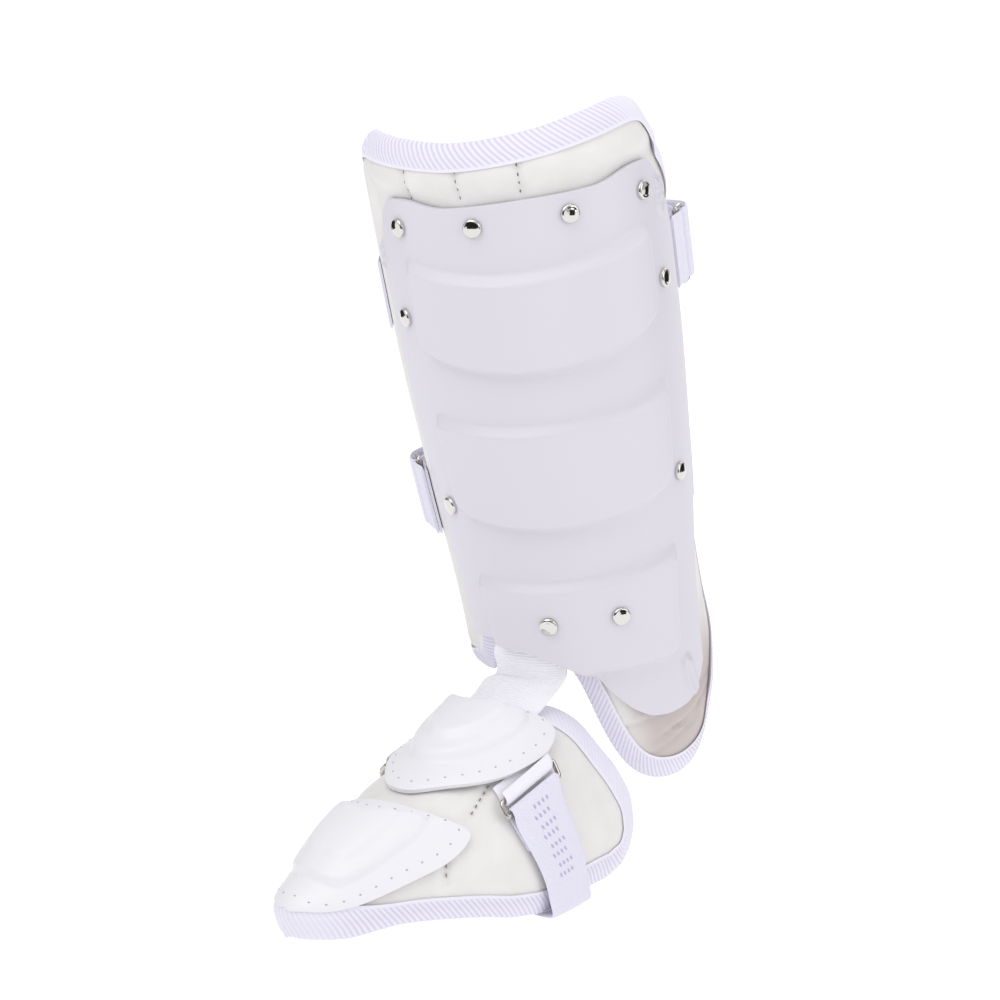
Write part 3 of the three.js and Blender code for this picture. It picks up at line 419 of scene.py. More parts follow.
rivet_number = 0
for pair in rivet_pairs:
    for side in (-1, 1):
        rivet_number += 1
        height = pair["height"] * shell_height
        turn = shell_facing + side * pair["turn"] * shell_half_turn
        lift = float(panel_lift(side * pair["turn"], height))
        mesh = rivet_mesh(f"cap_rivet_{rivet_number:02d}")
        seat, facing = outward_at(turn, height, lambda t, h, l, lift=lift: on_leg(t, h, lift))
        mesh.transform(Matrix.Translation(seat) @ facing.to_matrix().to_4x4() @ Matrix.Scale(mm, 4))
        show(f"cap_rivet_{rivet_number:02d}", mesh, chrome, "rivet_chrome", f"shell_rivet_{rivet_number:02d}")


# The shin pad is foam between two skins of synthetic leather, sewn through in upright channels. It
# swells where the shell doesn't press on it, its inner flank splays, and the ankle flap creases.
pad_height = 263
pad_facing = 41
pad_gap = 0.9
pad_thickness = 10
pad_edge_thickness = 3.4
pad_edge_zone = 16
pad_swell = 3.2
inner_flank_swell = 1.2
outer_flank_swell = 5
inner_flare = 6
channel_first = 20
channel_spacing = 24.5
channel_puff = 0.7
channel_depth = 1.6
channel_width = 1.7
lining_puff = 1.2
lining_depth = 2
quilt_first_turn = -26
quilt_last_turn = 66
# Painted shade on the ankle flap starts at this turn and height and deepens over the fade
flap_shade_turn = 50
flap_shade_height = -2
flap_shade_fade = 40
fold_half = 1.5
fold_ridge = 2.6
fold_ridge_half = 2.4
fold_ridge_share = 0.6
splay_from = 0.88
splay_to = 1.2
pad_middle = -shell_wall - pad_gap - pad_thickness / 2

pad_lower_edge = [
    dict(turn=-60, drop=0.07),
    dict(turn=-56, drop=0.2),
    dict(turn=-49, drop=0.28),
    dict(turn=-40, drop=0.29),
    dict(turn=-31, drop=0.25),
    dict(turn=-24, drop=0.15),
    dict(turn=-17, drop=0.04),
    dict(turn=-9, drop=0),
    dict(turn=3, drop=0),
    dict(turn=14, drop=0.01),
    dict(turn=22, drop=0.05),
    dict(turn=28, drop=0.11),
    dict(turn=33, drop=0.17),
    dict(turn=37, drop=0.26),
    dict(turn=41, drop=0.4),
    dict(turn=45, drop=0.56),
    dict(turn=50, drop=0.72),
    dict(turn=56, drop=0.85),
    dict(turn=63, drop=0.93),
    dict(turn=72, drop=0.98),
    dict(turn=83, drop=1),
    dict(turn=94, drop=0.985),
    dict(turn=104, drop=0.95),
    dict(turn=112, drop=0.9),
    dict(turn=119, drop=0.82),
    dict(turn=125, drop=0.7),
    dict(turn=130, drop=0.55),
    dict(turn=135, drop=0.36),
    dict(turn=139, drop=0.17),
    dict(turn=142, drop=-0.05),
]
pad_upper_edge = [
    dict(turn=-60, height=0.87),
    dict(turn=-57, height=0.93),
    dict(turn=-52, height=0.97),
    dict(turn=-45, height=0.99),
    dict(turn=-30, height=0.995),
    dict(turn=-5, height=0.99),
    dict(turn=20, height=0.982),
    dict(turn=50, height=0.988),
    dict(turn=75, height=1),
    dict(turn=96, height=1.008),
    dict(turn=106, height=0.998),
    dict(turn=114, height=0.965),
    dict(turn=121, height=0.92),
    dict(turn=128, height=0.87),
    dict(turn=135, height=0.815),
    dict(turn=142, height=0.75),
]
flank_flare = [
    dict(height=-0.3, flare=1),
    dict(height=-0.12, flare=0.9),
    dict(height=0, flare=0.4),
    dict(height=0.2, flare=0),
    dict(height=0.86, flare=0),
    dict(height=0.93, flare=0.6),
    dict(height=0.99, flare=1),
]
flap_creases = [
    dict(turn=62, height=-52, rise=0.1, half=22, depth=1.5),
    dict(turn=95, height=-58, rise=0.22, half=24, depth=1.8),
    dict(turn=84, height=-66, rise=0.3, half=18, depth=1.3),
    dict(turn=112, height=-47, rise=0.15, half=12, depth=1.1),
]
first_turn, last_turn = pad_lower_edge[0]["turn"], pad_lower_edge[-1]["turn"]
flat_scale = math.radians(calf_radius * 0.9)


def pad_low(turn):
    """Height of the pad's lower edge"""
    return -ear_drop * follow(pad_lower_edge, "turn", "drop", turn)


def pad_high(turn):
    """Height of the pad's upper edge"""
    return pad_height * follow(pad_upper_edge, "turn", "height", turn)


def on_pad(turn, height, lift):
    """Points on the leg, in metres, with the pad's inner flank splayed outwards"""
    splay = smooth(splay_from, splay_to, (np.asarray(turn, float) - shell_facing) / shell_half_turn)
    flare = follow(flank_flare, "height", "flare", np.asarray(height, float) / shell_height)
    return on_leg(turn, height, lift + inner_flare * splay * flare)


def flank_swell(turn):
    """How far a flank swells beside the shell, which is more on the outer side of the leg"""
    inner = smooth(-0.4, 0.4, np.sin(np.radians(turn - pad_facing)))
    return mix(outer_flank_swell, inner_flank_swell, inner)


def pad_swell_at(turn, height):
    """How far the pad swells where the shell doesn't press on it"""
    over = smooth(shell_height, shell_height * 1.05, height)
    side = np.abs(turn - shell_facing) / shell_half_turn
    return np.maximum(pad_swell * over, flank_swell(turn) * smooth(1.0, 1.1, side))


def rounded_path(points, spread):
    """A closed path of points, each moved to the mean of its neighbours so that corners turn softly"""
    weights = np.hanning(2 * spread + 3)[1:-1]
    weights /= weights.sum()
    padded = np.concatenate([points[-spread:], points, points[:spread]])
    columns = [np.convolve(column, weights, mode="valid") for column in padded.T]
    return np.stack(columns, axis=-1)


def evenly(points, step, closed=True):
    """The same path with its points a step apart"""
    looped = np.concatenate([points, points[:1]]) if closed else points
    reach = np.concatenate([[0], np.cumsum(np.linalg.norm(np.diff(looped, axis=0), axis=1))])
    count = int(round(reach[-1] / step))
    marks = np.linspace(0, reach[-1], count, endpoint=False) if closed else np.linspace(0, reach[-1], count)
    return np.stack([np.interp(marks, reach, looped[:, k]) for k in range(points.shape[1])], axis=-1)


# The pad's outline, laid flat in mm: along its lower edge, up its inner side and back along its top
across = np.linspace(first_turn, last_turn, 240)
lower_line = np.stack([across * flat_scale, pad_low(across)], axis=-1)
upper_line = np.stack([across * flat_scale, pad_high(across)], axis=-1)[::-1]
pad_outline = rounded_path(evenly(np.concatenate([lower_line, upper_line]), 1.0), 7)


def distance_to(outline, points):
    """How far each point lies from a closed outline"""
    near = np.full(len(points), np.inf)
    coarse = outline[::4]
    for start, end in zip(coarse, np.roll(coarse, -1, axis=0)):
        line = end - start
        share = np.clip((points - start) @ line / (line @ line), 0, 1)
        near = np.minimum(near, np.linalg.norm(points - start - share[:, None] * line, axis=1))
    return near


def channels(turn, depth, width, puff):
    """Sewn channels: a groove at each seam and a soft crown between two of them"""
    place = (turn - channel_first) / channel_spacing
    off = np.abs(place - np.round(place)) * 2
    groove = np.exp(-(((off / 2) * channel_spacing * math.radians(calf_radius) / width) ** 2))
    return puff * (1 - (1 - off) ** 2) - depth * groove


def pad_spot(u, v):
    """The turn and height of a place in the pad's grid, whose lines lie closer near its edges"""
    u = 0.5 - 0.5 * np.cos(np.pi * u) * (1 - 0.35 * np.sin(np.pi * u) ** 2)
    v = 0.5 - 0.5 * np.cos(np.pi * v) * (1 - 0.2 * np.sin(np.pi * v) ** 2)
    turn = mix(first_turn, last_turn, u)
    return turn, mix(pad_low(turn), pad_high(turn), v)


def pad_half_at(edge):
    """Half the pad's thickness at a distance from its edge, and how full it is there, from 0 to 1"""
    full = np.clip(edge, 0, pad_edge_zone) / pad_edge_zone
    full = full * (2 - full)
    return mix(pad_edge_thickness, pad_thickness, full) / 2, full


def pad_outer(turn, height):
    """Half the pad's thickness, the height of its outer skin over its middle, and how full it is"""
    half, full = pad_half_at(distance_to(pad_outline, np.stack([turn * flat_scale, height], axis=-1)))
    bare = smooth(shell_height * 0.985, shell_height * 1.02, height)
    sewn = smooth(quilt_first_turn, quilt_first_turn + 6, turn)
    sewn = sewn * smooth(quilt_last_turn, quilt_last_turn - 8, turn)
    puffed = bare * full * sewn * channels(turn, channel_depth, channel_width, channel_puff)
    return half, half + pad_swell_at(turn, height) * full + puffed, full


def flap_shade_cloth(u, v):
    """The pad's UV: how much painted shade a place has, darker and pinker over the flap where the shell
    shadows it, and its share up the pad
    """
    turn, height = pad_spot(u, v)
    return smooth(flap_shade_turn, flap_shade_turn + 22, turn) * smooth(flap_shade_height, flap_shade_height - flap_shade_fade, height), v


def pad_place(u, v, side):
    """The pad's chart, with the flap's creases in its outer skin and sewn channels in its lining"""
    turn, height = pad_spot(u, v)
    half, outer, full = pad_outer(turn, height)
    for crease in flap_creases:
        off = height - crease["height"] - crease["rise"] * (turn - crease["turn"])
        near = np.exp(-(((turn - crease["turn"]) / crease["half"]) ** 4))
        ridge = fold_ridge_share * np.exp(-(((off - fold_ridge) / fold_ridge_half) ** 2))
        outer += near * full * crease["depth"] * (ridge - np.exp(-((off / fold_half) ** 2)))
    inner = half + full * channels(turn, lining_depth, channel_width, lining_puff)
    return on_pad(turn, height, pad_middle + np.where(side > 0, outer, -inner))


# Synthetic leather: a warm off-white skin with a low pebble grain and a slight sheen. The flap below
# the shell gets painted shade, pinker and darker, laid by a mask in the pad's own UV
grain_width = 1.1
crease_width = 13.333
leather, tree, shader = new_material(
    "synthetic_leather", Base_Color=ink("#e8e5e3"), Roughness=0.46, IOR=1.48, Specular_IOR_Level=0.4)
place = add(tree, "ShaderNodeTexCoord", {})
pebbles = add(tree, "ShaderNodeTexVoronoi", {
    "Vector": place.outputs["Object"], "Scale": 1000 / grain_width, "Randomness": 1}, feature="SMOOTH_F1")
creasing = add(tree, "ShaderNodeTexNoise", {
    "Vector": place.outputs["Object"], "Scale": 1000 / crease_width, "Detail": 4})
tone = add(tree, "ShaderNodeMix", {
    "Factor": creasing.outputs[0], "A": ink("#dfdcda"), "B": ink("#eae9e8")}, data_type="RGBA")
soft = add(tree, "ShaderNodeBump", {
    "Height": creasing.outputs[0], "Strength": 0.25, "Distance": 1.2 * mm})
grain = add(tree, "ShaderNodeBump", {
    "Height": pebbles.outputs["Distance"], "Strength": 0.12, "Distance": 0.25 * mm,
    "Normal": soft.outputs[0]})
skin = add(tree, "ShaderNodeUVMap", {}, uv_map="cloth")
flap = add(tree, "ShaderNodeSeparateXYZ", {0: skin.outputs[0]})
# Painted shade: the flap is mixed towards a darker, pinker tone where the mask in the UV puts the shell's
# shadow
flap_painted_shade = add(tree, "ShaderNodeMix", {
    "Factor": flap.outputs[0], "A": tone.outputs["Result"], "B": ink("#c5bbb9")}, data_type="RGBA")
tree.links.new(flap_painted_shade.outputs["Result"], shader.inputs["Base Color"])
tree.links.new(grain.outputs[0], shader.inputs["Normal"])

pad_columns, pad_rows = 210, 150
shin_pad = show("shin_pad_leather",
                sheet_mesh("shin_pad_leather", pad_columns, pad_rows, pad_place, cloth=flap_shade_cloth),
                leather, "pad_leather", "shin_pad")


# The shin pad's seams are lock-stitched with polyester thread, which shows as short dark dashes where
# it dives through the leather.
thread_width = 1.05
thread_length = 2.2
thread_step = 4.6
quilt_turns = [-4.5, 20, 44.5]
quilt_margin = 6.5
flank_seam = [(120, -9), (115, -27)]
thread_rise_share = 0.4

# Spun polyester: grey-brown and matt, so that each stitch reads as a dark dash
thread_material, tree, shader = new_material(
    "polyester_thread", Base_Color=ink("#857a70"), Roughness=0.8)


def dashes(name, rows, width, length, step):
    """One mesh of short capsules along rows of places; each row is a chart and its points in mm or
    degrees, and a dash lies along its row"""
    bm = bmesh.new()
    for chart, line in rows:
        fine = np.linspace(0, 1, 200)
        marks = np.linspace(0, 1, len(line))
        places = np.stack([np.interp(fine, marks, np.array(line)[:, k]) for k in range(2)], axis=-1)
        points = chart(places[:, 0], places[:, 1], 0.0) / mm
        lifted = chart(places[:, 0], places[:, 1], 1.0) / mm
        reach = np.concatenate([[0], np.cumsum(np.linalg.norm(np.diff(points, axis=0), axis=1))])
        for mark in np.arange(step * 0.4, reach[-1], step):
            middle, ahead, up = (
                Vector([np.interp(at, reach, source[:, k]) for k in range(3)])
                for at, source in ((mark, points), (min(mark + 1, reach[-1]), points), (mark, lifted)))
            along = (ahead - middle).normalized()
            outward = (up - middle).normalized()
            across = along.cross(outward).normalized()
            rise = outward * width * thread_rise_share
            turned = Matrix((along * length / 2, across * width / 2, rise)).transposed()
            bmesh.ops.create_icosphere(
                bm, subdivisions=2, radius=1, matrix=Matrix.Translation(middle * mm) @ (turned * mm).to_4x4())
    return smooth_mesh(name, bm)


def pad_skin(turn, height, lift):
    """A place on the pad's outer skin"""
    outer = pad_outer(turn, height)[1]
    return on_pad(turn, height, pad_middle + outer + lift)


pad_seams = [[(turn, shell_height), (turn, float(pad_high(turn)) - quilt_margin)] for turn in quilt_turns]
pad_seams.append(flank_seam)
seam_rows = [(pad_skin, seam) for seam in pad_seams]
show("pad_stitches", dashes("pad_stitches", seam_rows, thread_width, thread_length, thread_step),
     thread_material, "binding_tape")


# The bindings are ribbed polyester tape folded over the pads' raw edges and pulled tight over them. The
# tape's ribs lie aslant over the roll, and a plain selvedge runs along its lower lip.
tape_reach = 9
tape_wall = 0.8
tape_roll = 3.2
tape_front = 3.4
tape_bite = -1.0
tape_share = 0.74
tape_front_share = 0.55
tape_swell_share = 0.84
path_step = 0.5
tape_rows = 30
selvedge = 1.9
rib_pitch = 3.0
rib_rise = 0.6
rib_slant = 0.85
rib_roundness = 0.7
selvedge_rise_share = 0.3

# Ribbed tape: white with a breath of lavender, matt with a soft bloom. The grooves get painted shade, a
# darker lavender laid after the count of ribs in the tape's UV
thread_pitch = 0.6
tape, tree, shader = new_material(
    "ribbed_tape", Base_Color=ink("#ecebf3"), Roughness=0.8, Sheen_Weight=0.25, Sheen_Roughness=0.5)
laid = add(tree, "ShaderNodeUVMap", {}, uv_map="cloth")
count = add(tree, "ShaderNodeSeparateXYZ", {0: laid.outputs[0]})
turned = add(tree, "ShaderNodeMath", {0: count.outputs[0], 1: math.pi}, operation="MULTIPLY")
wave = add(tree, "ShaderNodeMath", {0: turned.outputs[0]}, operation="SINE")
crest = add(tree, "ShaderNodeMath", {0: wave.outputs[0]}, operation="ABSOLUTE")
raised = add(tree, "ShaderNodeMath", {0: crest.outputs[0], 1: count.outputs[1]}, operation="MAXIMUM")
# Painted shade: darker lavender in the grooves between ribs, none on the crests, the plain selvedge or the
# tape's inside, and less where the ribs are pulled smooth
groove_painted_shade = add(tree, "ShaderNodeMix", {
    "Factor": raised.outputs[0], "A": ink("#cfc8e1"), "B": ink("#e9e7f2")}, data_type="RGBA")
tree.links.new(groove_painted_shade.outputs["Result"], shader.inputs["Base Color"])
place = add(tree, "ShaderNodeTexCoord", {})
threads = add(tree, "ShaderNodeTexNoise", {
    "Vector": place.outputs["Object"], "Scale": 1000 / thread_pitch, "Detail": 2})
fine = add(tree, "ShaderNodeBump", {"Height": threads.outputs[0], "Strength": 0.18, "Distance": 0.2 * mm})
tree.links.new(fine.outputs[0], shader.inputs["Normal"])


def tape_section(v):
    """Reach inwards, which side of the pad and whether it is the tape's outside, round its section"""
    v = np.where(v > 0.9999, 0, v)
    over = v < tape_share
    angle = np.where(over, v / tape_share, (1 - v) / (1 - tape_share)) * 2 - 1
    side = -np.sign(angle)
    share = np.abs(angle)
    reach = np.where(
        share < tape_front_share,
        -tape_roll + (tape_front + tape_roll) * (1 - np.cos(share / tape_front_share * math.pi / 2)),
        tape_front + (tape_reach - tape_front) * (share - tape_front_share) / (1 - tape_front_share))
    return reach, side, over


def tape_lift(reach, side, over, half, swell):
    """Height of the tape over the pad's middle, from the pad's half thickness under it"""
    ahead = tape_front - np.minimum(reach, tape_front)
    depth = half + np.where(side > 0, swell, 0) + np.where(over, tape_wall, tape_bite)
    front, inner_front = (
        np.sqrt(np.clip(1 - (ahead / (tape_front + roll)) ** 2, 0, 1))
        for roll in (tape_roll, tape_roll - tape_wall))
    return side * depth * np.where(over, front, inner_front)


def rib_phase(along, reach, side, length):
    """How many ribs lie before a place on the tape, and whether it is on the plain selvedge"""
    phase = along * round(length / rib_pitch) / length + side * (reach + tape_roll) * rib_slant / rib_pitch
    return phase, smooth(tape_reach - selvedge - 0.3, tape_reach - selvedge, reach)


def ribs(along, reach, side, length, strength):
    """How far the ribs and the selvedge stand up"""
    phase, plain = rib_phase(along, reach, side, length)
    raised = np.abs(np.sin(np.pi * phase)) ** rib_roundness
    return rib_rise * strength * (raised * (1 - plain) + selvedge_rise_share * plain)


def tape_cloth(length, calm, slant=1):
    """The tape's UV: the count of ribs, and how far they fade into plain tape"""
    def cloth(u, v):
        reach, side, over = tape_section(v)
        phase, plain = rib_phase(u * length, reach, slant * side, length)
        return phase, np.maximum(np.maximum(plain, 1 - calm(u)), ~over)
    return cloth


pad_path = evenly(rounded_path(pad_outline, 5), path_step)
pad_path_length = np.linalg.norm(np.diff(np.concatenate([pad_path, pad_path[:1]]), axis=0), axis=1).sum()
pad_ahead = rounded_path(np.roll(pad_path, -1, axis=0) - np.roll(pad_path, 1, axis=0), 14)
pad_ahead /= np.linalg.norm(pad_ahead, axis=1)[:, None]


def path_at(values, u):
    """Values along a closed path, read at shares of its length"""
    looped = np.concatenate([values, values[:1]])
    marks = np.linspace(0, 1, len(looped))
    return np.stack([np.interp(u, marks, looped[:, k]) for k in range(values.shape[1])], axis=-1)


def shin_calm(u):
    """How strong the tape's ribs stand: it is pulled nearly smooth round the pad's upper inner corner"""
    place = path_at(pad_path, u)
    corner = smooth(80, 100, place[:, 0] / flat_scale) * smooth(shell_height * 0.5, shell_height, place[:, 1])
    return 1 - 0.8 * corner


def shin_tape_place(u, v, side):
    """The shin tape's chart: its section v, swept along the pad's outline u"""
    reach, side, over = tape_section(v)
    place, ahead = path_at(pad_path, u), path_at(pad_ahead, u)
    inward = np.stack([-ahead[:, 1], ahead[:, 0]], axis=-1)
    at = place + inward * reach[:, None]
    swell = pad_swell_at(place[:, 0] / flat_scale, place[:, 1]) * tape_swell_share
    lift = tape_lift(reach, side, over, pad_half_at(reach)[0], swell)
    crest = np.where(over, ribs(u * pad_path_length, reach, side, pad_path_length, shin_calm(u)), 0)
    steep = np.clip((tape_front - reach) / (tape_front + tape_roll), 0, 1)
    at -= inward * (crest * steep)[:, None]
    return on_pad(at[:, 0] / flat_scale, at[:, 1], pad_middle + lift + side * crest * (1 - steep))


mesh = sheet_mesh("shin_tape", len(pad_path), tape_rows, shin_tape_place, sides=(1,),
                  cloth=tape_cloth(pad_path_length, shin_calm))
show("shin_tape", mesh, tape, "binding_tape", "shin_binding")


# The calf straps are woven elastic, sewn at one end to the pad's flank and turned back through a
# nickel ring at the other. A short tab of the same elastic holds each ring. The straps' middles lie
# where those of the solids do, whose thickness is solid_strap.
strap_width = 36
strap_thickness = 1.5
strap_bulge = 12
strap_clearance = 0.5
wire_diameter = 2.6
wire_step = 0.6
wire_sides = 16
ring_slack = 8
calf_ring_slack = 2.4
pad_half_turn = 101
upper_strap_height = 180
lower_strap_height = 68
solid_strap = 1.3
sewn_lift = pad_middle + pad_thickness / 2 + strap_clearance + solid_strap / 2
leg_lift = pad_middle - pad_thickness / 2 + solid_strap
bend_radius = wire_diameter / 2 + strap_clearance + solid_strap / 2

strap_run = [
    dict(turn=1.48, bulge=0.15, leg=1),
    dict(turn=1.41, bulge=0.2, leg=0.93),
    dict(turn=1.32, bulge=0.33, leg=0.75),
    dict(turn=1.22, bulge=0.58, leg=0.45),
    dict(turn=1.13, bulge=0.86, leg=0.17),
    dict(turn=1.06, bulge=1, leg=0),
    dict(turn=1.01, bulge=0.9, leg=0),
]
strap_inner_run = [
    dict(turn=1.05, bulge=0.26, leg=0),
    dict(turn=1.13, bulge=0.17, leg=0.17),
    dict(turn=1.22, bulge=0.1, leg=0.45),
    dict(turn=1.32, bulge=0.03, leg=0.77),
    dict(turn=1.41, bulge=0, leg=0.94),
    dict(turn=1.5, bulge=0, leg=1),
    dict(turn=1.64, bulge=0, leg=1),
    dict(turn=1.78, bulge=0, leg=1),
    dict(turn=1.92, bulge=0, leg=1),
    dict(turn=2.06, bulge=0, leg=1),
    dict(turn=2.2, bulge=0, leg=1),
    dict(turn=2.3, bulge=0, leg=0.85),
    dict(turn=2.4, bulge=0, leg=0.5),
    dict(turn=2.485, bulge=0, leg=0.12),
    dict(turn=2.56, bulge=0, leg=0),
    dict(turn=2.64, bulge=0, leg=0),
    dict(turn=2.73, bulge=0, leg=0),
]
front_bar = dict(turn=0.94, bulge=0.32)
rear_bar = dict(turn=0.99, bulge=0.6)

# Woven elastic: cool lavender white and matt, with fine lengthwise cords and a slight cross weave
elastic, tree, shader = new_material(
    "woven_elastic", Base_Color=ink("#e3e1f0"), Roughness=0.85, Sheen_Weight=0.2, Sheen_Roughness=0.5)
cord_pitch = 1.3
place = add(tree, "ShaderNodeUVMap", {}, uv_map="cloth")
cords = add(tree, "ShaderNodeTexWave", {
    "Vector": place.outputs[0], "Scale": 2 * math.pi / (20 * cord_pitch), "Distortion": 0.4, "Detail": 1},
    bands_direction="Y")
weave = add(tree, "ShaderNodeTexWave", {
    "Vector": place.outputs[0], "Scale": 2 * math.pi / (20 * cord_pitch * 0.6), "Distortion": 0.3},
    bands_direction="X")
woven = add(tree, "ShaderNodeMath", {0: cords.outputs[1], 1: weave.outputs[1]}, operation="ADD")
cloth = add(tree, "ShaderNodeBump", {"Height": woven.outputs[0], "Strength": 0.35, "Distance": 0.25 * mm})
tree.links.new(cloth.outputs[0], shader.inputs["Normal"])

# Nickel plate: bright and warm, a little duller than chrome
dull_patch = 3.333
nickel, tree, shader = new_material("nickel_plate", Base_Color=ink("#cbc7c0"), Metallic=1, Roughness=0.2)
place = add(tree, "ShaderNodeTexCoord", {})
wear = add(tree, "ShaderNodeTexNoise", {
    "Vector": place.outputs["Object"], "Scale": 1000 / dull_patch, "Detail": 3})
dull = add(tree, "ShaderNodeMapRange", {"Value": wear.outputs[0], "To Min": 0.14, "To Max": 0.3})
tree.links.new(dull.outputs[0], shader.inputs["Roughness"])


def along_curve(stations, u):
    """Points on smooth curves through rows of stations, which may lie unevenly"""
    stations = np.asarray(stations, float)
    gaps = np.linalg.norm(np.diff(stations.mean(axis=1), axis=0), axis=1)
    marks = np.concatenate([[0], np.cumsum(gaps)]) / gaps.sum()
    row = np.clip(np.searchsorted(marks, u, side="right") - 1, 0, len(marks) - 2)
    slopes = np.gradient(stations, marks, axis=0)
    width = (marks[row + 1] - marks[row])[:, None, None]
    t = ((u - marks[row]) / (marks[row + 1] - marks[row]))[:, None, None]
    return (
        (2 * t**3 - 3 * t**2 + 1) * stations[row]
        + (t**3 - 2 * t**2 + t) * width * slopes[row]
        + (3 * t**2 - 2 * t**3) * stations[row + 1]
        + (t**3 - t**2) * width * slopes[row + 1]
    )


def across_lines(lines, v):
    """Points across lines of points, from the first line to the last"""
    place = v * (lines.shape[1] - 1)
    first = np.clip(place.astype(int), 0, lines.shape[1] - 2)
    share = (place - first)[:, None]
    index = np.arange(len(v))
    return lines[index, first] * (1 - share) + lines[index, first + 1] * share


def band_place(stations, thickness, relief=None):
    """The chart of a strap of even thickness round a grid of its middle points in mm, with round edges"""
    stations = np.asarray(stations, float)
    length = np.linalg.norm(np.diff(stations.mean(axis=1), axis=0), axis=1).sum()
    width = np.linalg.norm(np.diff(stations, axis=1), axis=2).sum(axis=1).mean()

    def place(u, v, side):
        def middle(u, v):
            return across_lines(along_curve(stations, np.clip(u, 0, 1)), np.clip(v, 0, 1))
        step = 0.002
        along = middle(u + step, v) - middle(u - step, v)
        across = middle(u, v + step) - middle(u, v - step)
        normal = np.cross(along, across)
        normal /= np.linalg.norm(normal, axis=1)[:, None]
        edge = np.minimum(v, 1 - v) * width / thickness
        half = thickness / 2 * np.sqrt(np.clip(1 - (1 - np.clip(edge * 2, 0, 1)) ** 2, 0.05, 1))
        if relief:
            half = half + relief(u * length, (v - 0.5) * width)
        return (middle(u, v) + normal * (side * half)[:, None]) * mm
    return place, length, width


def band(name, stations, thickness, step=1.2):
    """A strap's mesh, with the mm along and across it as its UV"""
    chart, length, width = band_place(stations, thickness)
    return sheet_mesh(name, int(length / step), max(int(width / step), 8), chart,
                      cloth=lambda u, v: (u * length, v * width))


def round_bar(bar, start, end, steps):
    """Places of a strap where it turns round a ring's bar, from one angle to another"""
    angles = np.radians(np.linspace(start, end, steps + 1))
    return [dict(turn=bar["turn"] * pad_half_turn - bend_radius * math.sin(angle) / math.radians(calf_radius),
                 lift=sewn_lift + bar["bulge"] * strap_bulge + bend_radius * math.cos(angle))
            for angle in angles]


def run_place(row):
    """A place on a calf strap, from its row in a table"""
    return dict(turn=row["turn"] * pad_half_turn,
                lift=mix(sewn_lift, leg_lift, row["leg"]) + row["bulge"] * strap_bulge)


def on_flank(turn, height, lift, side):
    """A point in mm beside the pad's middle, over its swollen flank"""
    around = pad_facing + side * turn
    return on_leg(around, height, lift + flank_swell(around)) / mm


def leg_band(path, height, side):
    """A level strap's stations: its lower edge, middle and upper edge at each place of its path"""
    heights = [height - strap_width / 2, height, height + strap_width / 2]
    return np.array([
        [on_flank(place["turn"], high, place["lift"], side) for high in heights] for place in path])


def ring_mesh(name, corners):
    """A closed loop of round wire through its four corners"""
    corners = np.array(corners)
    path = evenly(rounded_path(evenly(corners, wire_step), 4), wire_step)
    ahead = np.roll(path, -1, axis=0) - np.roll(path, 1, axis=0)
    plane = np.cross(corners[1] - corners[0], corners[2] - corners[1])
    plane /= np.linalg.norm(plane)
    outward = np.cross(ahead, plane)
    outward /= np.linalg.norm(outward, axis=1)[:, None]

    def place(u, v, side):
        angle = (v * 2 * math.pi)[:, None]
        around = np.cos(angle) * path_at(outward, u) + np.sin(angle) * plane
        return (path_at(path, u) + wire_diameter / 2 * around) * mm
    return sheet_mesh(name, len(path), wire_sides, place, sides=(1,))


tab_layers = solid_strap + 0.4
strap_path = [*map(run_place, strap_run), *round_bar(rear_bar, 20, 170, 6), *map(run_place, strap_inner_run)]
tab_path = [
    dict(turn=0.815 * pad_half_turn, lift=sewn_lift + tab_layers),
    dict(turn=0.85 * pad_half_turn, lift=sewn_lift + tab_layers),
    dict(turn=0.875 * pad_half_turn, lift=sewn_lift + tab_layers + strap_bulge * 0.08),
    dict(turn=0.9 * pad_half_turn, lift=sewn_lift + tab_layers + strap_bulge * 0.22),
    *round_bar(front_bar, 35, -145, 6),
    dict(turn=0.915 * pad_half_turn, lift=sewn_lift + strap_bulge * 0.09),
    dict(turn=0.89 * pad_half_turn, lift=sewn_lift),
    dict(turn=0.85 * pad_half_turn, lift=sewn_lift),
    dict(turn=0.815 * pad_half_turn, lift=sewn_lift),
]
calf_straps = [
    dict(name="upper", height=upper_strap_height, side=1),
    dict(name="lower", height=lower_strap_height, side=-1),
]
for strap in calf_straps:
    name, height, side = strap["name"], strap["height"], strap["side"]
    for piece, path, node in (
            ("calf_elastic", strap_path, "calf_strap"), ("tab_elastic", tab_path, "strap_tab")):
        mesh = band(f"{piece}_{name}", leg_band(path, height, side), strap_thickness)
        show(f"{piece}_{name}", mesh, elastic, "strap_elastic", f"{node}_{name}")
    corners = [
        on_flank(bar["turn"] * pad_half_turn, height + up * (strap_width + calf_ring_slack) / 2,
                 sewn_lift + bar["bulge"] * strap_bulge, side)
        for bar, up in ((front_bar, -1), (rear_bar, -1), (rear_bar, 1), (front_bar, 1))]
    show(f"ring_{name}", ring_mesh(f"ring_{name}", corners), nickel, "ring_nickel", f"strap_ring_{name}")


# The web between shin and foot is a wide ribbed elastic. It is sewn to the pad behind the shell and
# to the top of the foot cover, so that the ankle can bend.
strap_gap = 0.5
foot_length = 211
foot_height = 92
foot_half_width = 61
sole_drop = 134
toe_out = 3
foot_thickness = 7
foot_edge_thickness = 3
foot_edge_zone = 14
foot_edge_lift = 4
nose_round = 12
cap_wall = 2.2
web_facing = 9.5
web_half_turn = 20.5
web_thickness = 1.3
web_rib_pitch = 1.5
web_rib_rise = 0.28
web_selvedge = 2.4
foot_play = 1.2

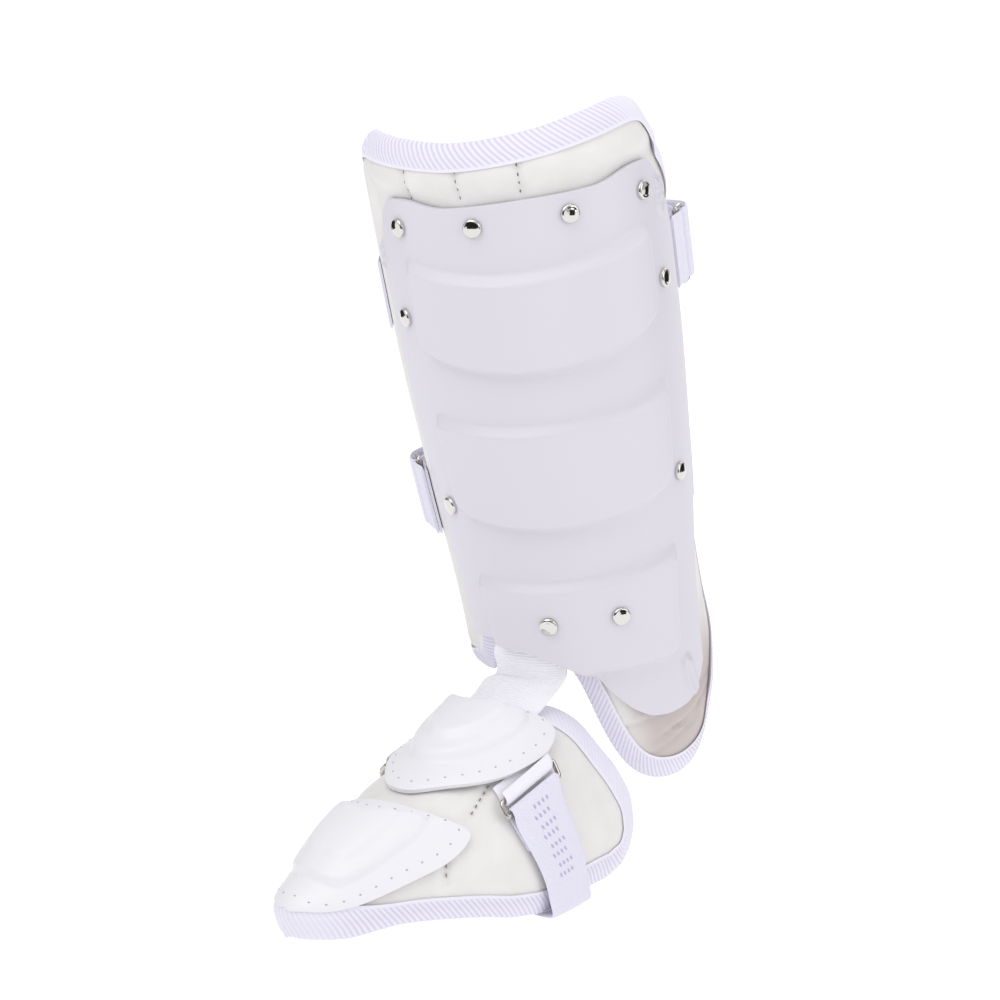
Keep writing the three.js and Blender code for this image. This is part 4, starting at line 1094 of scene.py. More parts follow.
foot_sections = [
    dict(along=-0.02, inner=0.78, outer=0.75, height=1.22),
    dict(along=0.07, inner=0.8, outer=0.76, height=1.2),
    dict(along=0.14, inner=0.82, outer=0.77, height=1.13),
    dict(along=0.25, inner=0.87, outer=0.8, height=1.03),
    dict(along=0.35, inner=0.955, outer=0.85, height=0.93),
    dict(along=0.45, inner=1, outer=0.88, height=0.81),
    dict(along=0.525, inner=0.975, outer=0.885, height=0.71),
    dict(along=0.59, inner=0.875, outer=0.87, height=0.63),
    dict(along=0.68, inner=0.74, outer=0.72, height=0.505),
    dict(along=0.77, inner=0.61, outer=0.59, height=0.4),
    dict(along=0.84, inner=0.51, outer=0.47, height=0.315),
    dict(along=0.91, inner=0.39, outer=0.35, height=0.22),
    dict(along=0.96, inner=0.25, outer=0.255, height=0.15),
    dict(along=0.99, inner=0.12, outer=0.12, height=0.075),
    dict(along=1, inner=0, outer=0, height=0),
]
foot_edge_lifts = [
    dict(along=0, lift=0.01),
    dict(along=0.42, lift=0),
    dict(along=0.52, lift=0.02),
    dict(along=0.62, lift=0.05),
    dict(along=0.76, lift=0.07),
    dict(along=0.9, lift=0.055),
    dict(along=1, lift=0.06),
]
foot_back_edge = [
    dict(turn=0, along=0.313),
    dict(turn=19, along=0.265),
    dict(turn=28, along=0.23),
    dict(turn=38, along=0.193),
    dict(turn=51, along=0.153),
    dict(turn=64, along=0.1),
    dict(turn=73, along=0.07),
    dict(turn=79, along=0.067),
    dict(turn=84, along=0.08),
    dict(turn=88, along=0.11),
    dict(turn=90, along=0.17),
]
instep_cap_outline = [
    dict(step=0, along=0.648, turn=0),
    dict(step=1, along=0.64, turn=9),
    dict(step=2, along=0.612, turn=17),
    dict(step=3, along=0.56, turn=26),
    dict(step=4, along=0.488, turn=33.5),
    dict(step=5, along=0.405, turn=38),
    dict(step=6, along=0.335, turn=40, outer=0.35),
    dict(step=7, along=0.289, turn=38, outer=0.335),
    dict(step=8, along=0.277, turn=33, outer=0.337),
    dict(step=9, along=0.3, turn=25, outer=0.348),
    dict(step=10, along=0.335, turn=13, outer=0.36),
    dict(step=11, along=0.353, turn=0),
]
toe_cap_outline = [
    dict(step=0, along=0.986, turn=0),
    dict(step=1, along=0.984, turn=33),
    dict(step=2, along=0.953, turn=57),
    dict(step=3, along=0.89, turn=64),
    dict(step=4, along=0.815, turn=65),
    dict(step=5, along=0.735, turn=63),
    dict(step=6, along=0.662, turn=59.5, outer=0.68),
    dict(step=7, along=0.61, turn=54, outer=0.66),
    dict(step=8, along=0.597, turn=48, outer=0.662),
    dict(step=9, along=0.635, turn=35, outer=0.675),
    dict(step=10, along=0.668, turn=20, outer=0.69),
    dict(step=11, along=0.69, turn=0),
]
web_on_shin = [
    dict(share=0.085, half=0.56, lift=-0.4),
    dict(share=0.05, half=0.58, lift=-1),
    dict(share=0.015, half=0.62, lift=-2.25),
    dict(share=-0.03, half=1, lift=-1),
    dict(share=-0.075, half=1, lift=-0.8),
]
web_on_instep = [
    dict(ahead=-0.055, lift=5.9),
    dict(ahead=-0.014, lift=3.25),
    dict(ahead=0.03, lift=1.85),
    dict(ahead=0.08, lift=1.85),
]
web_turns = dict(outer=30, inner=25)


def foot_size(along, turn, read):
    """Half width or height of the foot at shares of its length, in mm"""
    if read == "height":
        return foot_height * follow(foot_sections, "along", "height", along)
    return foot_half_width * np.where(
        turn < 0,
        follow(foot_sections, "along", "outer", along),
        follow(foot_sections, "along", "inner", along))


def on_foot_flat(forward, turn, lift):
    """Points on the foot in its own frame in mm, its sole at z = 0"""
    forward, turn, lift = np.broadcast_arrays(*(np.asarray(value, float) for value in (forward, turn, lift)))
    along = forward / foot_length
    width = foot_size(along, turn, "width")
    rise = foot_size(along, turn, "height")
    edge = foot_edge_lift + foot_height * follow(foot_edge_lifts, "along", "lift", along)
    angle = np.radians(turn)
    return np.stack([
        (width + lift * width / np.hypot(width, nose_round)) * np.sin(angle),
        -forward - lift * nose_round / np.hypot(width, nose_round),
        edge + (rise + lift * rise / np.hypot(rise, nose_round)) * np.cos(angle)], axis=-1)


toe_angle = math.radians(toe_out)
foot_frame = np.array([
    [math.cos(toe_angle), -math.sin(toe_angle), 0],
    [math.sin(toe_angle), math.cos(toe_angle), 0],
    [0, 0, 1]])
foot_seat = np.array([foot_length * math.sin(toe_angle) * 0.25, 0, -sole_drop])


def foot_world(points):
    """Points from the foot's own frame in mm to metres in the shared frame"""
    return (points @ foot_frame + foot_seat) * mm


def on_foot(forward, turn, lift):
    """Points on the foot, in metres"""
    return foot_world(on_foot_flat(forward, turn, lift))


def web_relief(along, across):
    """The web's cords, and its plainer edges"""
    plain = smooth(web_width / 2 - web_selvedge, web_width / 2 - web_selvedge + 0.5, np.abs(across))
    cords = np.abs(np.sin(math.pi * along / web_rib_pitch))
    return web_rib_rise * (cords * (1 - plain) + 0.5 * plain)


web_lines = []
for across in np.linspace(-1, 1, 9):
    turn = across * (web_turns["outer"] if across < 0 else web_turns["inner"])
    rim = float(follow([dict(turn=row["turn"], along=row["along"]) for row in instep_cap_outline[:7:-1]],
                       "turn", "along", abs(turn)))
    upper = [on_leg(web_facing + across * web_half_turn * row["half"], row["share"] * shell_height,
                    row["lift"] - web_thickness / 2) / mm for row in web_on_shin]
    lower = [on_foot((rim + row["ahead"]) * foot_length, turn, row["lift"]) / mm for row in web_on_instep]
    web_lines.append(upper + lower)
web_stations = np.array(web_lines).transpose(1, 0, 2)
web_width = np.linalg.norm(np.diff(web_stations, axis=1), axis=2).sum(axis=1).mean()

# Ribbed elastic: white, matt and slightly warm, its cords standing up in the mesh itself
web_elastic, tree, shader = new_material(
    "ribbed_elastic", Base_Color=ink("#f1f0f6"), Roughness=0.85, Sheen_Weight=0.2, Sheen_Roughness=0.5)
place = add(tree, "ShaderNodeTexCoord", {})
threads = add(tree, "ShaderNodeTexNoise", {
    "Vector": place.outputs["Object"], "Scale": 1000 / thread_pitch, "Detail": 2})
fine = add(tree, "ShaderNodeBump", {"Height": threads.outputs[0], "Strength": 0.2, "Distance": 0.2 * mm})
tree.links.new(fine.outputs[0], shader.inputs["Normal"])

chart, web_length = band_place(web_stations, web_thickness, web_relief)[:2]
rows_per_rib = 7
web_columns = 60
mesh = sheet_mesh("instep_web", int(web_length / web_rib_pitch * rows_per_rib), web_columns, chart)
show("instep_web", mesh, web_elastic, "web_elastic", "ankle_web")


# The foot cover is the same foam between two leather skins, drawn over the top of the shoe. Two short
# seams take up its fullness behind the caps.
foot_seams = [
    [(103, 32), (113, 36), (122, 42)],
    [(140, 59), (143, 71)],
]
foot_columns = 200
foot_rows = 170
foot_flat_scale = 0.9
foot_tip = 0.9985
seam_depth = 1.1
seam_width = 1.6
seam_pucker = 0.4
pucker_reach = 5
foot_thread_width = 0.8
foot_thread_step = 4.4
toe_tape_widening = 0.35
toe_roll_widening = 0.9
toe_tape_swell = 1.6
back_rib_share = 0.3
toe_rib_loss = 0.7


def girth_step(forward, turn):
    """Length round the foot for one degree of turn"""
    along = forward / foot_length
    width = foot_size(along, turn, "width")
    return np.hypot(width, foot_size(along, turn, "height")) * math.sqrt(0.5) * math.radians(1)


def foot_back(turn):
    """How far forward the foot cover's back edge lies"""
    return foot_length * follow(foot_back_edge, "turn", "along", np.abs(turn))


# The foot cover's outline as forward and turn, evenly spaced: over the back edge from the outer side
# to the inner one, to the tip along the inner sole edge and back along the outer one
edge_turns = np.linspace(-90, 90, 361)
edge_runs = np.concatenate([np.linspace(0.17, 0.9, 200), 1 - 0.1 * np.linspace(1, 0.02, 120) ** 2])
rough_path = np.concatenate([
    np.stack([foot_back(edge_turns), edge_turns], axis=-1),
    np.stack([edge_runs * foot_length, np.full(len(edge_runs), 90.0)], axis=-1),
    np.stack([edge_runs[::-1] * foot_length, np.full(len(edge_runs), -90.0)], axis=-1)])
rough_points = on_foot_flat(rough_path[:, 0], rough_path[:, 1], 0)
rough_reach = np.concatenate([[0], np.cumsum(np.linalg.norm(
    np.diff(np.concatenate([rough_points, rough_points[:1]]), axis=0), axis=1))])
foot_path_length = rough_reach[-1]
marks = np.linspace(0, foot_path_length, round(foot_path_length / path_step), endpoint=False)
looped = np.concatenate([rough_path, rough_path[:1]])
foot_path = np.stack([np.interp(marks, rough_reach, looped[:, k]) for k in range(2)], axis=-1)
foot_edge = on_foot_flat(foot_path[:, 0], foot_path[:, 1], 0)

# Places at reaches inwards from the outline, over the cover's outer skin: round the sole edge towards
# the cover's middle line, and elsewhere square to the outline on the chart
reaches = np.linspace(0, foot_edge_zone, 29)
scale = girth_step(foot_path[:, 0], foot_path[:, 1])
ahead = np.roll(foot_path, -3, axis=0) - np.roll(foot_path, 3, axis=0)
ahead[:, 1] *= scale
ahead = rounded_path(ahead, 9)
ahead /= np.linalg.norm(ahead, axis=1)[:, None]
on_chart = on_foot_flat(
    foot_path[:, :1] + ahead[:, 1:] * reaches,
    np.clip(foot_path[:, 1:] - ahead[:, :1] * reaches / scale[:, None], -90, 90), 0)
nose = 0.93 * foot_length
slide = np.linspace(0, 1, 90) ** 2
start = np.stack([foot_edge[:, 0], -foot_path[:, 0]], axis=-1)
spine = np.stack([np.zeros(len(start)), -np.minimum(foot_path[:, 0], nose)], axis=-1)
flat = start[:, None] + (spine - start)[:, None] * slide[:, None]
flat_along = -flat[..., 1] / foot_length
widths = foot_size(flat_along, foot_path[:, 1:], "width")
rises = foot_size(flat_along, foot_path[:, 1:], "height")
floors = foot_edge_lift + foot_height * follow(foot_edge_lifts, "along", "lift", flat_along)
tall = floors + rises * np.sqrt(np.clip(1 - (flat[..., 0] / np.maximum(widths, 0.01)) ** 2, 0, 1))
domed = np.concatenate([flat, tall[..., None]], axis=-1)
run = np.concatenate([np.zeros((len(domed), 1)),
                      np.cumsum(np.linalg.norm(np.diff(domed, axis=1), axis=2), axis=1)], axis=1)
on_dome = np.array([[np.interp(reaches, run[k], domed[k, :, axis]) for axis in range(3)]
                    for k in range(len(domed))]).transpose(0, 2, 1)
sole = ((np.abs(foot_path[:, 1]) > 89.9) * smooth(0.3, 0.45, foot_path[:, 0] / foot_length))[:, None, None]
rim_grid = on_chart * (1 - sole) + on_dome * sole
rim_along = np.roll(rim_grid, -4, axis=0) - np.roll(rim_grid, 4, axis=0)
rim_inward = np.gradient(rim_grid, axis=1)
rim_normal = np.cross(rim_inward, rim_along)
rim_normal /= np.linalg.norm(rim_normal, axis=2)[:, :, None] + 1e-9
from_middle = rim_grid - np.array([0, -0.5 * foot_length, 0])
rim_normal *= np.sign((rim_normal * from_middle).sum(axis=2))[:, :, None]
edge_inward = rim_grid[:, 2] - rim_grid[:, 0]
edge_inward /= np.linalg.norm(edge_inward, axis=1)[:, None]


def foot_half_at(edge):
    """Half the foot cover's thickness at a distance from its edge"""
    taper = np.clip(edge / foot_edge_zone, 0, 1)
    return mix(foot_edge_thickness, foot_thickness, taper * (2 - taper)) / 2


def foot_pad_place(u, v, side):
    """The foot cover's chart, with its two seams pulled in and the leather puckered beside them"""
    u = 0.5 - 0.5 * np.cos(np.pi * u)
    v = 1 - (1 - v) ** 1.35
    turn = mix(-90, 90, u)
    back = foot_back(turn)
    forward = mix(back, foot_length * foot_tip, v)
    surface = on_foot_flat(forward, turn, 0)
    edge = distance_to(foot_edge[::2], surface)
    half = foot_half_at(edge)
    lift = half
    for seam in foot_seams:
        line = np.array([(place[0], place[1] * foot_flat_scale) for place in seam])
        points = np.stack([forward, turn * foot_flat_scale], axis=-1)
        near = np.full(len(points), np.inf)
        for start, end in zip(line, line[1:]):
            share = np.clip((points - start) @ (end - start) / ((end - start) @ (end - start)), 0, 1)
            near = np.minimum(near, np.linalg.norm(points - start - share[:, None] * (end - start), axis=1))
        lift = lift - seam_depth * np.exp(-((near / seam_width) ** 2))
        lift = lift + seam_pucker * np.exp(-((near / pucker_reach - 1) ** 2) * 3)
    middle = -foot_thickness / 2
    return on_foot(forward, turn, np.where(side > 0, middle + lift, middle - half))


mesh = sheet_mesh("foot_leather", foot_columns, foot_rows, foot_pad_place, cloth=lambda u, v: (u * 0, v))
foot_pad = show("foot_leather", mesh, leather, "pad_leather", "foot_pad")

seam_rows = [(on_foot, seam) for seam in foot_seams]
show("foot_stitches", dashes("foot_stitches", seam_rows, foot_thread_width, thread_length, foot_thread_step),
     thread_material, "binding_tape")


def foot_calm(u):
    """The tape lies nearly smooth over the back edge and round the toe, and stands in full ribs along
    the sole"""
    place = path_at(foot_path, u)
    toe = smooth(0.86, 0.96, place[:, 0] / foot_length)
    along_sole = smooth(86, 90, np.abs(place[:, 1]))
    return mix(back_rib_share, 1, along_sole) * (1 - toe_rib_loss * toe)


def foot_tape_place(u, v, side):
    """The foot tape's chart: its section v, swept along the cover's outline u, wider round the toe"""
    reach, side, over = tape_section(v)
    toe = smooth(0.78, 0.95, path_at(foot_path, u)[:, 0] / foot_length)
    widening = np.where(reach > 0, toe_tape_widening, toe_roll_widening) * toe
    covered = reach * (1 + widening)
    index = u * len(foot_path)
    first = np.floor(index).astype(int)
    share = (index - first)[:, None]
    spot = np.clip(covered, 0, foot_edge_zone) / foot_edge_zone * (len(reaches) - 1)
    low = np.clip(np.floor(spot).astype(int), 0, len(reaches) - 2)
    part = (spot - low)[:, None]

    def read(grid):
        here, there = grid[first % len(foot_path)], grid[(first + 1) % len(foot_path)]
        rows = np.arange(len(first))
        return ((here[rows, low] * (1 - part) + here[rows, low + 1] * part) * (1 - share)
                + (there[rows, low] * (1 - part) + there[rows, low + 1] * part) * share)

    base, normal = read(rim_grid), read(rim_normal)
    normal /= np.linalg.norm(normal, axis=1)[:, None]
    inward = path_at(edge_inward, u)
    lift = tape_lift(reach, side, over, foot_half_at(covered), toe_tape_swell * toe)
    crest = np.where(over, ribs(u * foot_path_length, reach, -side, foot_path_length, foot_calm(u)), 0)
    steep = np.clip((tape_front - reach) / (tape_front + tape_roll), 0, 1)
    out = np.minimum(covered, 0) - crest * steep
    return foot_world(base + normal * (-foot_thickness / 2 + lift + side * crest * (1 - steep))[:, None]
                      + inward * out[:, None])


mesh = sheet_mesh("foot_tape", len(foot_path), tape_rows, foot_tape_place, sides=(1,),
                  cloth=tape_cloth(foot_path_length, foot_calm, -1))
show("foot_tape", mesh, tape, "binding_tape", "foot_binding")


# The caps over the instep and the toes are pressed from the shell's own plastic, each with two
# raised steps, and stitched through their flanges to the foot cover.
instep_cap_middle = 0.415
toe_cap_middle = 0.785
instep_cap_height = 11
toe_cap_height = 9
cap_profile = [
    dict(reach=0, height=1),
    dict(reach=0.34, height=0.95),
    dict(reach=0.45, height=0.72),
    dict(reach=0.585, height=0.63),
    dict(reach=0.68, height=0.28),
    dict(reach=0.96, height=0.23),
    dict(reach=1, height=0.21),
]


def rim_place(outline, angle):
    """A place on a cap's rim, on one smooth closed curve through both halves of its outline"""
    half = outline[-1]["step"]
    table = [(row["along"], row["turn"]) for row in outline]
    closed = np.array(table + [(row.get("outer", row["along"]), -row["turn"]) for row in outline[-2:0:-1]])
    at = np.asarray(angle) / math.pi * half
    first = np.floor(at).astype(int)
    t = (at - first)[..., None]
    before, here, there, after = (closed[(first + step) % len(closed)] for step in (-1, 0, 1, 2))
    place = here + 0.5 * t * (there - before + t * (
        2 * before - 5 * here + 4 * there - after + t * (3 * (here - there) + after - before)))
    return place[..., 0], place[..., 1]


def instep_lift(forward):
    """Height of the instep cap's underside, which makes room for the end of the web"""
    over_web = smooth(foot_length * 0.62, foot_length * 0.52, forward)
    return foot_play + (web_thickness + 2 * strap_gap) * over_web


def cap_chart(outline, middle, rise, base_lift):
    """A cap's chart, from a square grid drawn out to a disc: its rim lies on the outline"""
    def place(u, v, side):
        a, b = 2 * u - 1, 2 * v - 1
        x, y = a * np.sqrt(1 - b**2 / 2), b * np.sqrt(1 - a**2 / 2)
        reach, angle = np.minimum(np.hypot(x, y), 1), np.arctan2(y, x)
        along, turn = rim_place(outline, angle)
        forward = foot_length * mix(middle, along, reach)
        height = rise * follow(cap_profile, "reach", "height", reach)
        lift = np.where(side > 0, height, np.maximum(height - cap_wall, 0))
        return on_foot(forward, turn * reach, base_lift(forward) + lift)
    return place


# Pressed polyethylene of the caps: as white as the shell, a little warmer, with the same satin gloss
cap_wave_width = 33.33
cap_plastic, tree, shader = new_material(
    "cap_polyethylene", Base_Color=ink("#e9e8ed"), Roughness=0.4, IOR=1.5, Specular_IOR_Level=0.45)
place = add(tree, "ShaderNodeTexCoord", {})
waves = add(tree, "ShaderNodeTexNoise", {
    "Vector": place.outputs["Object"], "Scale": 1000 / cap_wave_width, "Detail": 2})
uneven = add(tree, "ShaderNodeBump", {"Height": waves.outputs[0], "Strength": 0.1, "Distance": 3 * mm})
tree.links.new(uneven.outputs[0], shader.inputs["Normal"])

# Pale polyester sunk in the plastic: only a grey-lavender shadow shows where it dives
stitch_hole_shade, tree, shader = new_material(
    "stitch_hole_shadow", Base_Color=ink("#b3adc0"), Roughness=0.7)

hole_inset = 5.5
hole_step = 8.7
hole_width = 0.85
hole_length = 1.3
cap_edge_round = 0.7
cap_grid = 110
foot_caps = [
    dict(name="instep_cap", outline=instep_cap_outline, middle=instep_cap_middle, rise=instep_cap_height,
         lift=instep_lift, node="instep_cap"),
    dict(name="toe_cap", outline=toe_cap_outline, middle=toe_cap_middle, rise=toe_cap_height,
         lift=lambda forward: foot_play, node="toe_cap"),
]
for cap in foot_caps:
    chart = cap_chart(cap["outline"], cap["middle"], cap["rise"], cap["lift"])
    mesh = sheet_mesh(f"pressed_{cap['name']}", cap_grid, cap_grid, chart)
    rounded(show(f"pressed_{cap['name']}", mesh, cap_plastic, "cap_plastic", cap["node"]), cap_edge_round)

    def cap_skin(angle, inset, lift, cap=cap):
        """A place over the cap's flange, at an angle round it and an inset from its rim"""
        along, turn = rim_place(cap["outline"], np.radians(angle))
        rim = on_foot_flat(along * foot_length, turn, 0)
        centre = on_foot_flat(cap["middle"] * foot_length, 0, 0)
        reach = 1 - inset / np.linalg.norm(rim - centre, axis=-1)
        forward = foot_length * mix(cap["middle"], along, reach)
        height = cap["rise"] * follow(cap_profile, "reach", "height", reach)
        return on_foot(forward, turn * reach, cap["lift"](forward) + height + lift)

    ring = [(angle, hole_inset) for angle in np.linspace(-178, 178, 90)]
    mesh = dashes(f"stitch_shadows_{cap['name']}", [(cap_skin, ring)], hole_width, hole_length, hole_step)
    show(f"stitch_shadows_{cap['name']}", mesh, stitch_hole_shade, "binding_tape")


# The stirrup is one woven elastic that passes under the shoe. Each end turns up through a nickel
# ring, which a short roll of satin webbing holds at the side of the foot.
stirrup_width = 34
stirrup_forward = 87
stirrup_slant = 12
stirrup_ring_turn = 50
tab_ring_turn = 43.2
stirrup_thickness = 1.5
foot_bend = wire_diameter / 2 + strap_gap * 1.5 + solid_strap / 2
stirrup_inner = foot_play + solid_strap / 2
stirrup_outer = stirrup_inner + solid_strap + strap_gap
ring_lift = foot_bend + stirrup_inner
sole_shares = [1, 0.92, 0.55, 0]
sole_turn_up = 1.17
dash_columns = 3.2
dash_rows = 5.2
dash_pairs = 11.2
dash_long = 3.3
dash_wide = 1.6
dash_slant = 1.1
dash_sunk = 0.22
dash_margin = 4
weft_pitch = 0.7

# Satin webbing: smooth, white and faintly shiny along its weft
satin, tree, shader = new_material(
    "satin_webbing", Base_Color=ink("#eeecf5"), Roughness=0.45, Sheen_Weight=0.2, Sheen_Roughness=0.4)
place = add(tree, "ShaderNodeUVMap", {}, uv_map="cloth")
weft = add(tree, "ShaderNodeTexWave", {
    "Vector": place.outputs[0], "Scale": 2 * math.pi / (20 * weft_pitch), "Distortion": 0.6, "Detail": 1},
    bands_direction="X")
fine = add(tree, "ShaderNodeBump", {"Height": weft.outputs[1], "Strength": 0.2, "Distance": 0.15 * mm})
tree.links.new(fine.outputs[0], shader.inputs["Normal"])


def stirrup_forward_at(turn, across):
    """How far forward the stirrup lies, as it slants back towards the sole"""
    slant = smooth(stirrup_ring_turn, 90, np.abs(turn))
    return stirrup_forward - stirrup_slant * slant + across * stirrup_width / 2


def round_foot_bar(turn, start, end, steps):
    """Places of a strap where it turns round a foot ring's bar"""
    angles = np.radians(np.linspace(start, end, steps + 1))
    return [dict(turn=turn - foot_bend * math.sin(angle) / float(girth_step(stirrup_forward, turn)),
                 lift=ring_lift + foot_bend * math.cos(angle), straight=True) for angle in angles]


def across_stirrup(place, side, acrosses):
    """Points across the stirrup; where it turns round a bar it lies as straight as the bar"""
    def point(across):
        return on_foot(stirrup_forward_at(place["turn"], across), side * place["turn"], place["lift"]) / mm
    if not place.get("straight"):
        return [point(across) for across in acrosses]
    return [mix(point(-1), point(1), (across + 1) / 2) for across in acrosses]


stirrup_side = [
    dict(turn=66, lift=stirrup_inner),
    dict(turn=60, lift=stirrup_inner),
    dict(turn=54, lift=stirrup_inner),
    *round_foot_bar(stirrup_ring_turn, 180, 0, 6),
    dict(turn=54.5, lift=stirrup_outer + 1.4),
    dict(turn=60, lift=stirrup_outer + 0.3),
    dict(turn=67, lift=stirrup_outer),
    dict(turn=74, lift=stirrup_outer),
    dict(turn=81, lift=stirrup_outer + 0.4),
    dict(turn=86.5, lift=stirrup_outer + 0.9),
]
stirrup_acrosses = np.linspace(-1, 1, 7)
stirrup_stations = {}
for side in (-1, 1):
    runs = [across_stirrup(place, side, stirrup_acrosses) for place in stirrup_side]
    for number, share in enumerate(sole_shares):
        edge = on_foot_flat(stirrup_forward_at(90, stirrup_acrosses), side * 90, stirrup_outer + 1.2)
        edge[:, 0] *= share
        edge[:, 1] = -stirrup_forward_at(90, stirrup_acrosses)
        edge[:, 2] = -strap_gap - solid_strap / 2 + (sole_turn_up if number == 0 else 0)
        runs.append(list(foot_world(edge) / mm))
    stirrup_stations[side] = runs
stirrup_loop = stirrup_stations[1] + stirrup_stations[-1][-2::-1]
show("stirrup_elastic", band("stirrup_elastic", stirrup_loop, stirrup_thickness), elastic, "strap_elastic",
     "stirrup_strap")

# The dashes woven into the stirrup's outer face are sunken floats; their lavender-grey is painted shade of
# the hollows they lie in
float_groove_shade, tree, shader = new_material(
    "float_groove_shade", Base_Color=ink("#bcb2d4"), Roughness=0.8, Sheen_Weight=0.2)
loop_chart, loop_length, loop_width = band_place(stirrup_loop, stirrup_thickness)
loop_steps = np.linalg.norm(np.diff(np.array(stirrup_loop).mean(axis=1), axis=0), axis=1)
bar_end = 9
outer_start = loop_steps[:bar_end].sum() + dash_margin
outer_end = loop_steps[: len(stirrup_side) - 1].sum()


def stirrup_skin(along, across, lift):
    """A place over the stirrup's outer face, whichever side of the band that is"""
    along, across = np.broadcast_arrays(np.asarray(along, float), np.asarray(across, float))
    u, v = along / loop_length, across / loop_width + 0.5
    faces = [loop_chart(u, v, np.full(len(u), side)) for side in (1, -1)]
    spread = [np.linalg.norm(face[:, :2], axis=1).sum() for face in faces]
    outer, inner = faces if spread[0] > spread[1] else faces[::-1]
    up = (outer - inner) / np.linalg.norm(outer - inner, axis=1)[:, None]
    return outer + up * (lift - dash_sunk) * mm


float_shade_rows = []
for number in range(int((outer_end - outer_start) / dash_pairs) * 2):
    at = outer_start + dash_pairs * (number // 2) + dash_rows * (number % 2)
    for column in range(4):
        across = (column - 1.5 + (0.25 if number % 2 else -0.25)) * dash_columns
        for middle, lean in ((at, -1), (loop_length - at, 1)):
            float_shade_rows.append((stirrup_skin, [
                (middle - dash_long / 2, across - dash_slant * lean / 2),
                (middle + dash_long / 2, across + dash_slant * lean / 2)]))
show("stirrup_float_shade", dashes("stirrup_float_shade", float_shade_rows, dash_wide, dash_long * 0.9, dash_long * 1.25),
     float_groove_shade, "strap_elastic")

tab_side = [
    dict(turn=tab_ring_turn - 8, lift=stirrup_inner),
    dict(turn=tab_ring_turn - 4, lift=stirrup_inner),
    *round_foot_bar(tab_ring_turn, 180, 360, 8),
    dict(turn=tab_ring_turn - 2.6, lift=ring_lift + foot_bend * 0.8, straight=True),
]
for name, side in (("medial", 1), ("lateral", -1)):
    stations = [across_stirrup(place, side, stirrup_acrosses) for place in tab_side]
    mesh = band(f"satin_tab_{name}", stations, stirrup_thickness)
    show(f"satin_tab_{name}", mesh, satin, "tab_webbing", f"ring_tab_{name}")
    corners = []
    for turn, end in (
            (tab_ring_turn, -1), (stirrup_ring_turn, -1), (stirrup_ring_turn, 1), (tab_ring_turn, 1)):
        low, high = across_stirrup(dict(turn=turn, lift=ring_lift, straight=True), side, [-1, 1])
        reach = (high - low) / np.linalg.norm(high - low) * (stirrup_width + ring_slack * 0.8) / 2
        corners.append((low + high) / 2 + reach * end)
    mesh = ring_mesh(f"foot_ring_{name}", corners)
    show(f"foot_ring_{name}", mesh, nickel, "ring_nickel", f"stirrup_ring_{name}")


# The guard stands on a plain pale floor in soft studio light, seen from a little above its front and
# its inner side.
camera_facing = 43
camera_tilt = 13
camera_distance = 1500
camera_target = Vector((-40.5, -21.8, 50.7))
camera_focus = 2850
frame_width = 1000
sensor_width = 36
floor_half = 40
floor_gap = 0.3

facing, tilt = math.radians(camera_facing), math.radians(camera_tilt)
away = Vector((math.sin(facing) * math.cos(tilt), -math.cos(facing) * math.cos(tilt), math.sin(tilt)))
camera = bpy.data.objects.new("camera", bpy.data.cameras.new("camera"))
camera.data.sensor_width = sensor_width
camera.data.lens = sensor_width * camera_focus / frame_width
camera.location = (camera_target + away * camera_distance) * mm
camera.rotation_euler = away.to_track_quat("Z", "Y").to_euler()
bpy.context.scene.collection.objects.link(camera)
bpy.context.scene.camera = camera

# The floor: white paper that glows a little, so that it stays white up to the picture's edge
floor_mesh = bpy.data.meshes.new("floor")
bm = bmesh.new()
bmesh.ops.create_grid(bm, x_segments=1, y_segments=1, size=floor_half)
bmesh.ops.translate(bm, verts=bm.verts, vec=(0, 0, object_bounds()[0][2] - floor_gap * mm))
bm.to_mesh(floor_mesh)
bm.free()
floor = bpy.data.objects.new("floor", floor_mesh)
bpy.context.scene.collection.objects.link(floor)
paper, tree, shader = new_material("floor_paper", Base_Color=ink("#8c8c8e"), Roughness=0.9,
                                    Emission_Color=ink("#ffffff"), Emission_Strength=0.87)
floor_mesh.materials.append(paper)

world = bpy.data.worlds.new("studio")
world.use_nodes = True
world.node_tree.nodes["Background"].inputs["Color"].default_value = ink("#ffffff")
world.node_tree.nodes["Background"].inputs["Strength"].default_value = 0.57
bpy.context.scene.world = world

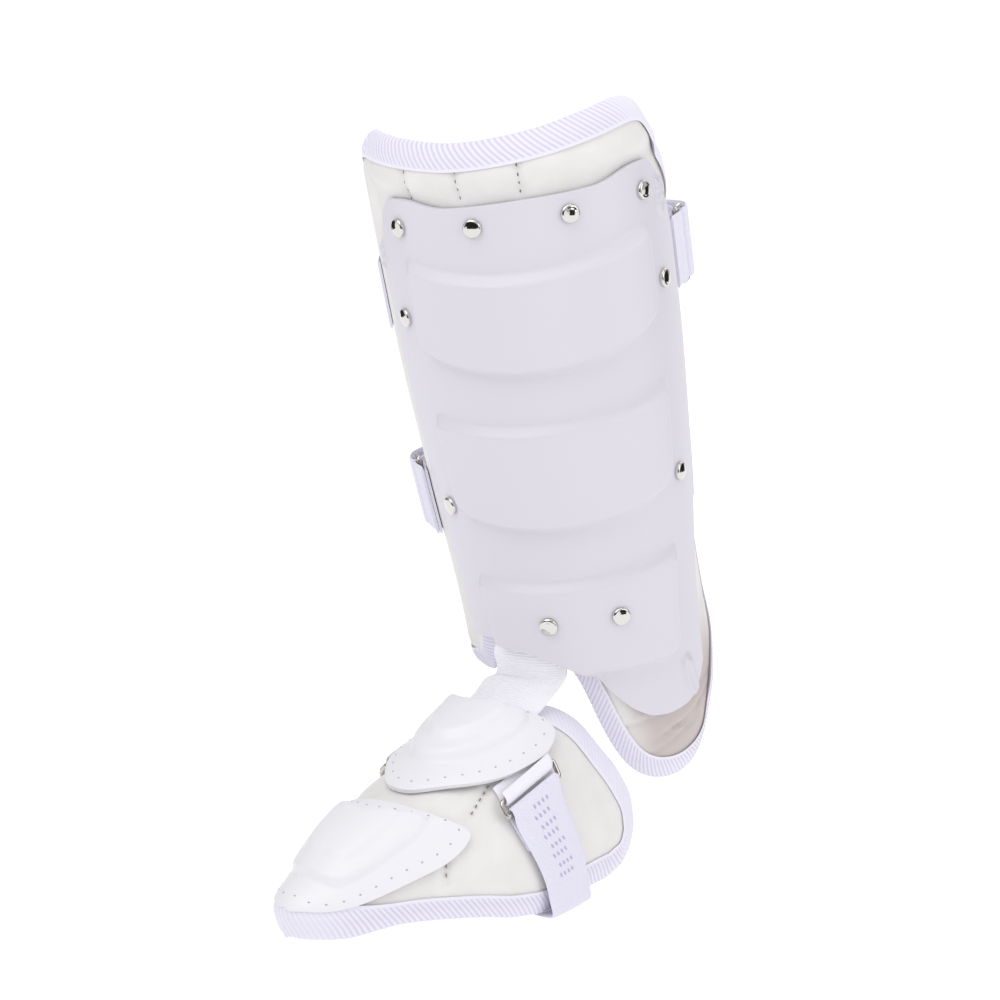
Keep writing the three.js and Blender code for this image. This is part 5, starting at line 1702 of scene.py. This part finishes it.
lamps = [
    dict(name="key", turn=-5, tilt=50, away=2.0, size=1.5, power=13.5),
    dict(name="fill", turn=100, tilt=24, away=2.2, size=1.6, power=11),
    dict(name="top", turn=60, tilt=80, away=2.0, size=1.2, power=5),
    dict(name="back", turn=205, tilt=45, away=2.2, size=1.4, power=8),
]
for lamp in lamps:
    light = bpy.data.lights.new(lamp["name"], "AREA")
    light.size = lamp["size"]
    light.energy = lamp["power"]
    turn, tilt = math.radians(lamp["turn"]), math.radians(lamp["tilt"])
    aim = Vector((math.sin(turn) * math.cos(tilt), -math.cos(turn) * math.cos(tilt), math.sin(tilt)))
    stand = bpy.data.objects.new(lamp["name"], light)
    stand.location = aim * lamp["away"]
    stand.rotation_euler = aim.to_track_quat("Z", "Y").to_euler()
    bpy.context.scene.collection.objects.link(stand)
bpy.context.scene.view_settings.view_transform = "Standard"

# Dark cards round the set, out of the picture, give the polished metal something to mirror
felt, tree, shader = new_material("black_felt", Base_Color=ink("#101012"), Roughness=1)
card_half_height = 0.3
card_distance = 1.1
card_level = 0.1
dark_cards = [
    dict(turn=-75, half_width=0.35),
    dict(turn=0, half_width=0.3),
    dict(turn=24, half_width=0.5),
    dict(turn=82, half_width=0.3),
    dict(turn=150, half_width=0.35),
]
for number, row in enumerate(dark_cards):
    turn = math.radians(row["turn"])
    card_mesh = bpy.data.meshes.new(f"dark_card_{number}")
    bm = bmesh.new()
    bmesh.ops.create_grid(bm, x_segments=1, y_segments=1, size=1)
    bmesh.ops.scale(bm, verts=bm.verts, vec=(row["half_width"], card_half_height, 1))
    bm.to_mesh(card_mesh)
    bm.free()
    card = bpy.data.objects.new(f"dark_card_{number}", card_mesh)
    aim = Vector((math.sin(turn), -math.cos(turn), 0))
    card.location = aim * card_distance + Vector((0, 0, card_level))
    card.rotation_euler = aim.to_track_quat("Z", "Y").to_euler()
    bpy.context.scene.collection.objects.link(card)
    card_mesh.materials.append(felt)
    card.visible_camera = False
    card.visible_diffuse = False
    card.visible_shadow = False
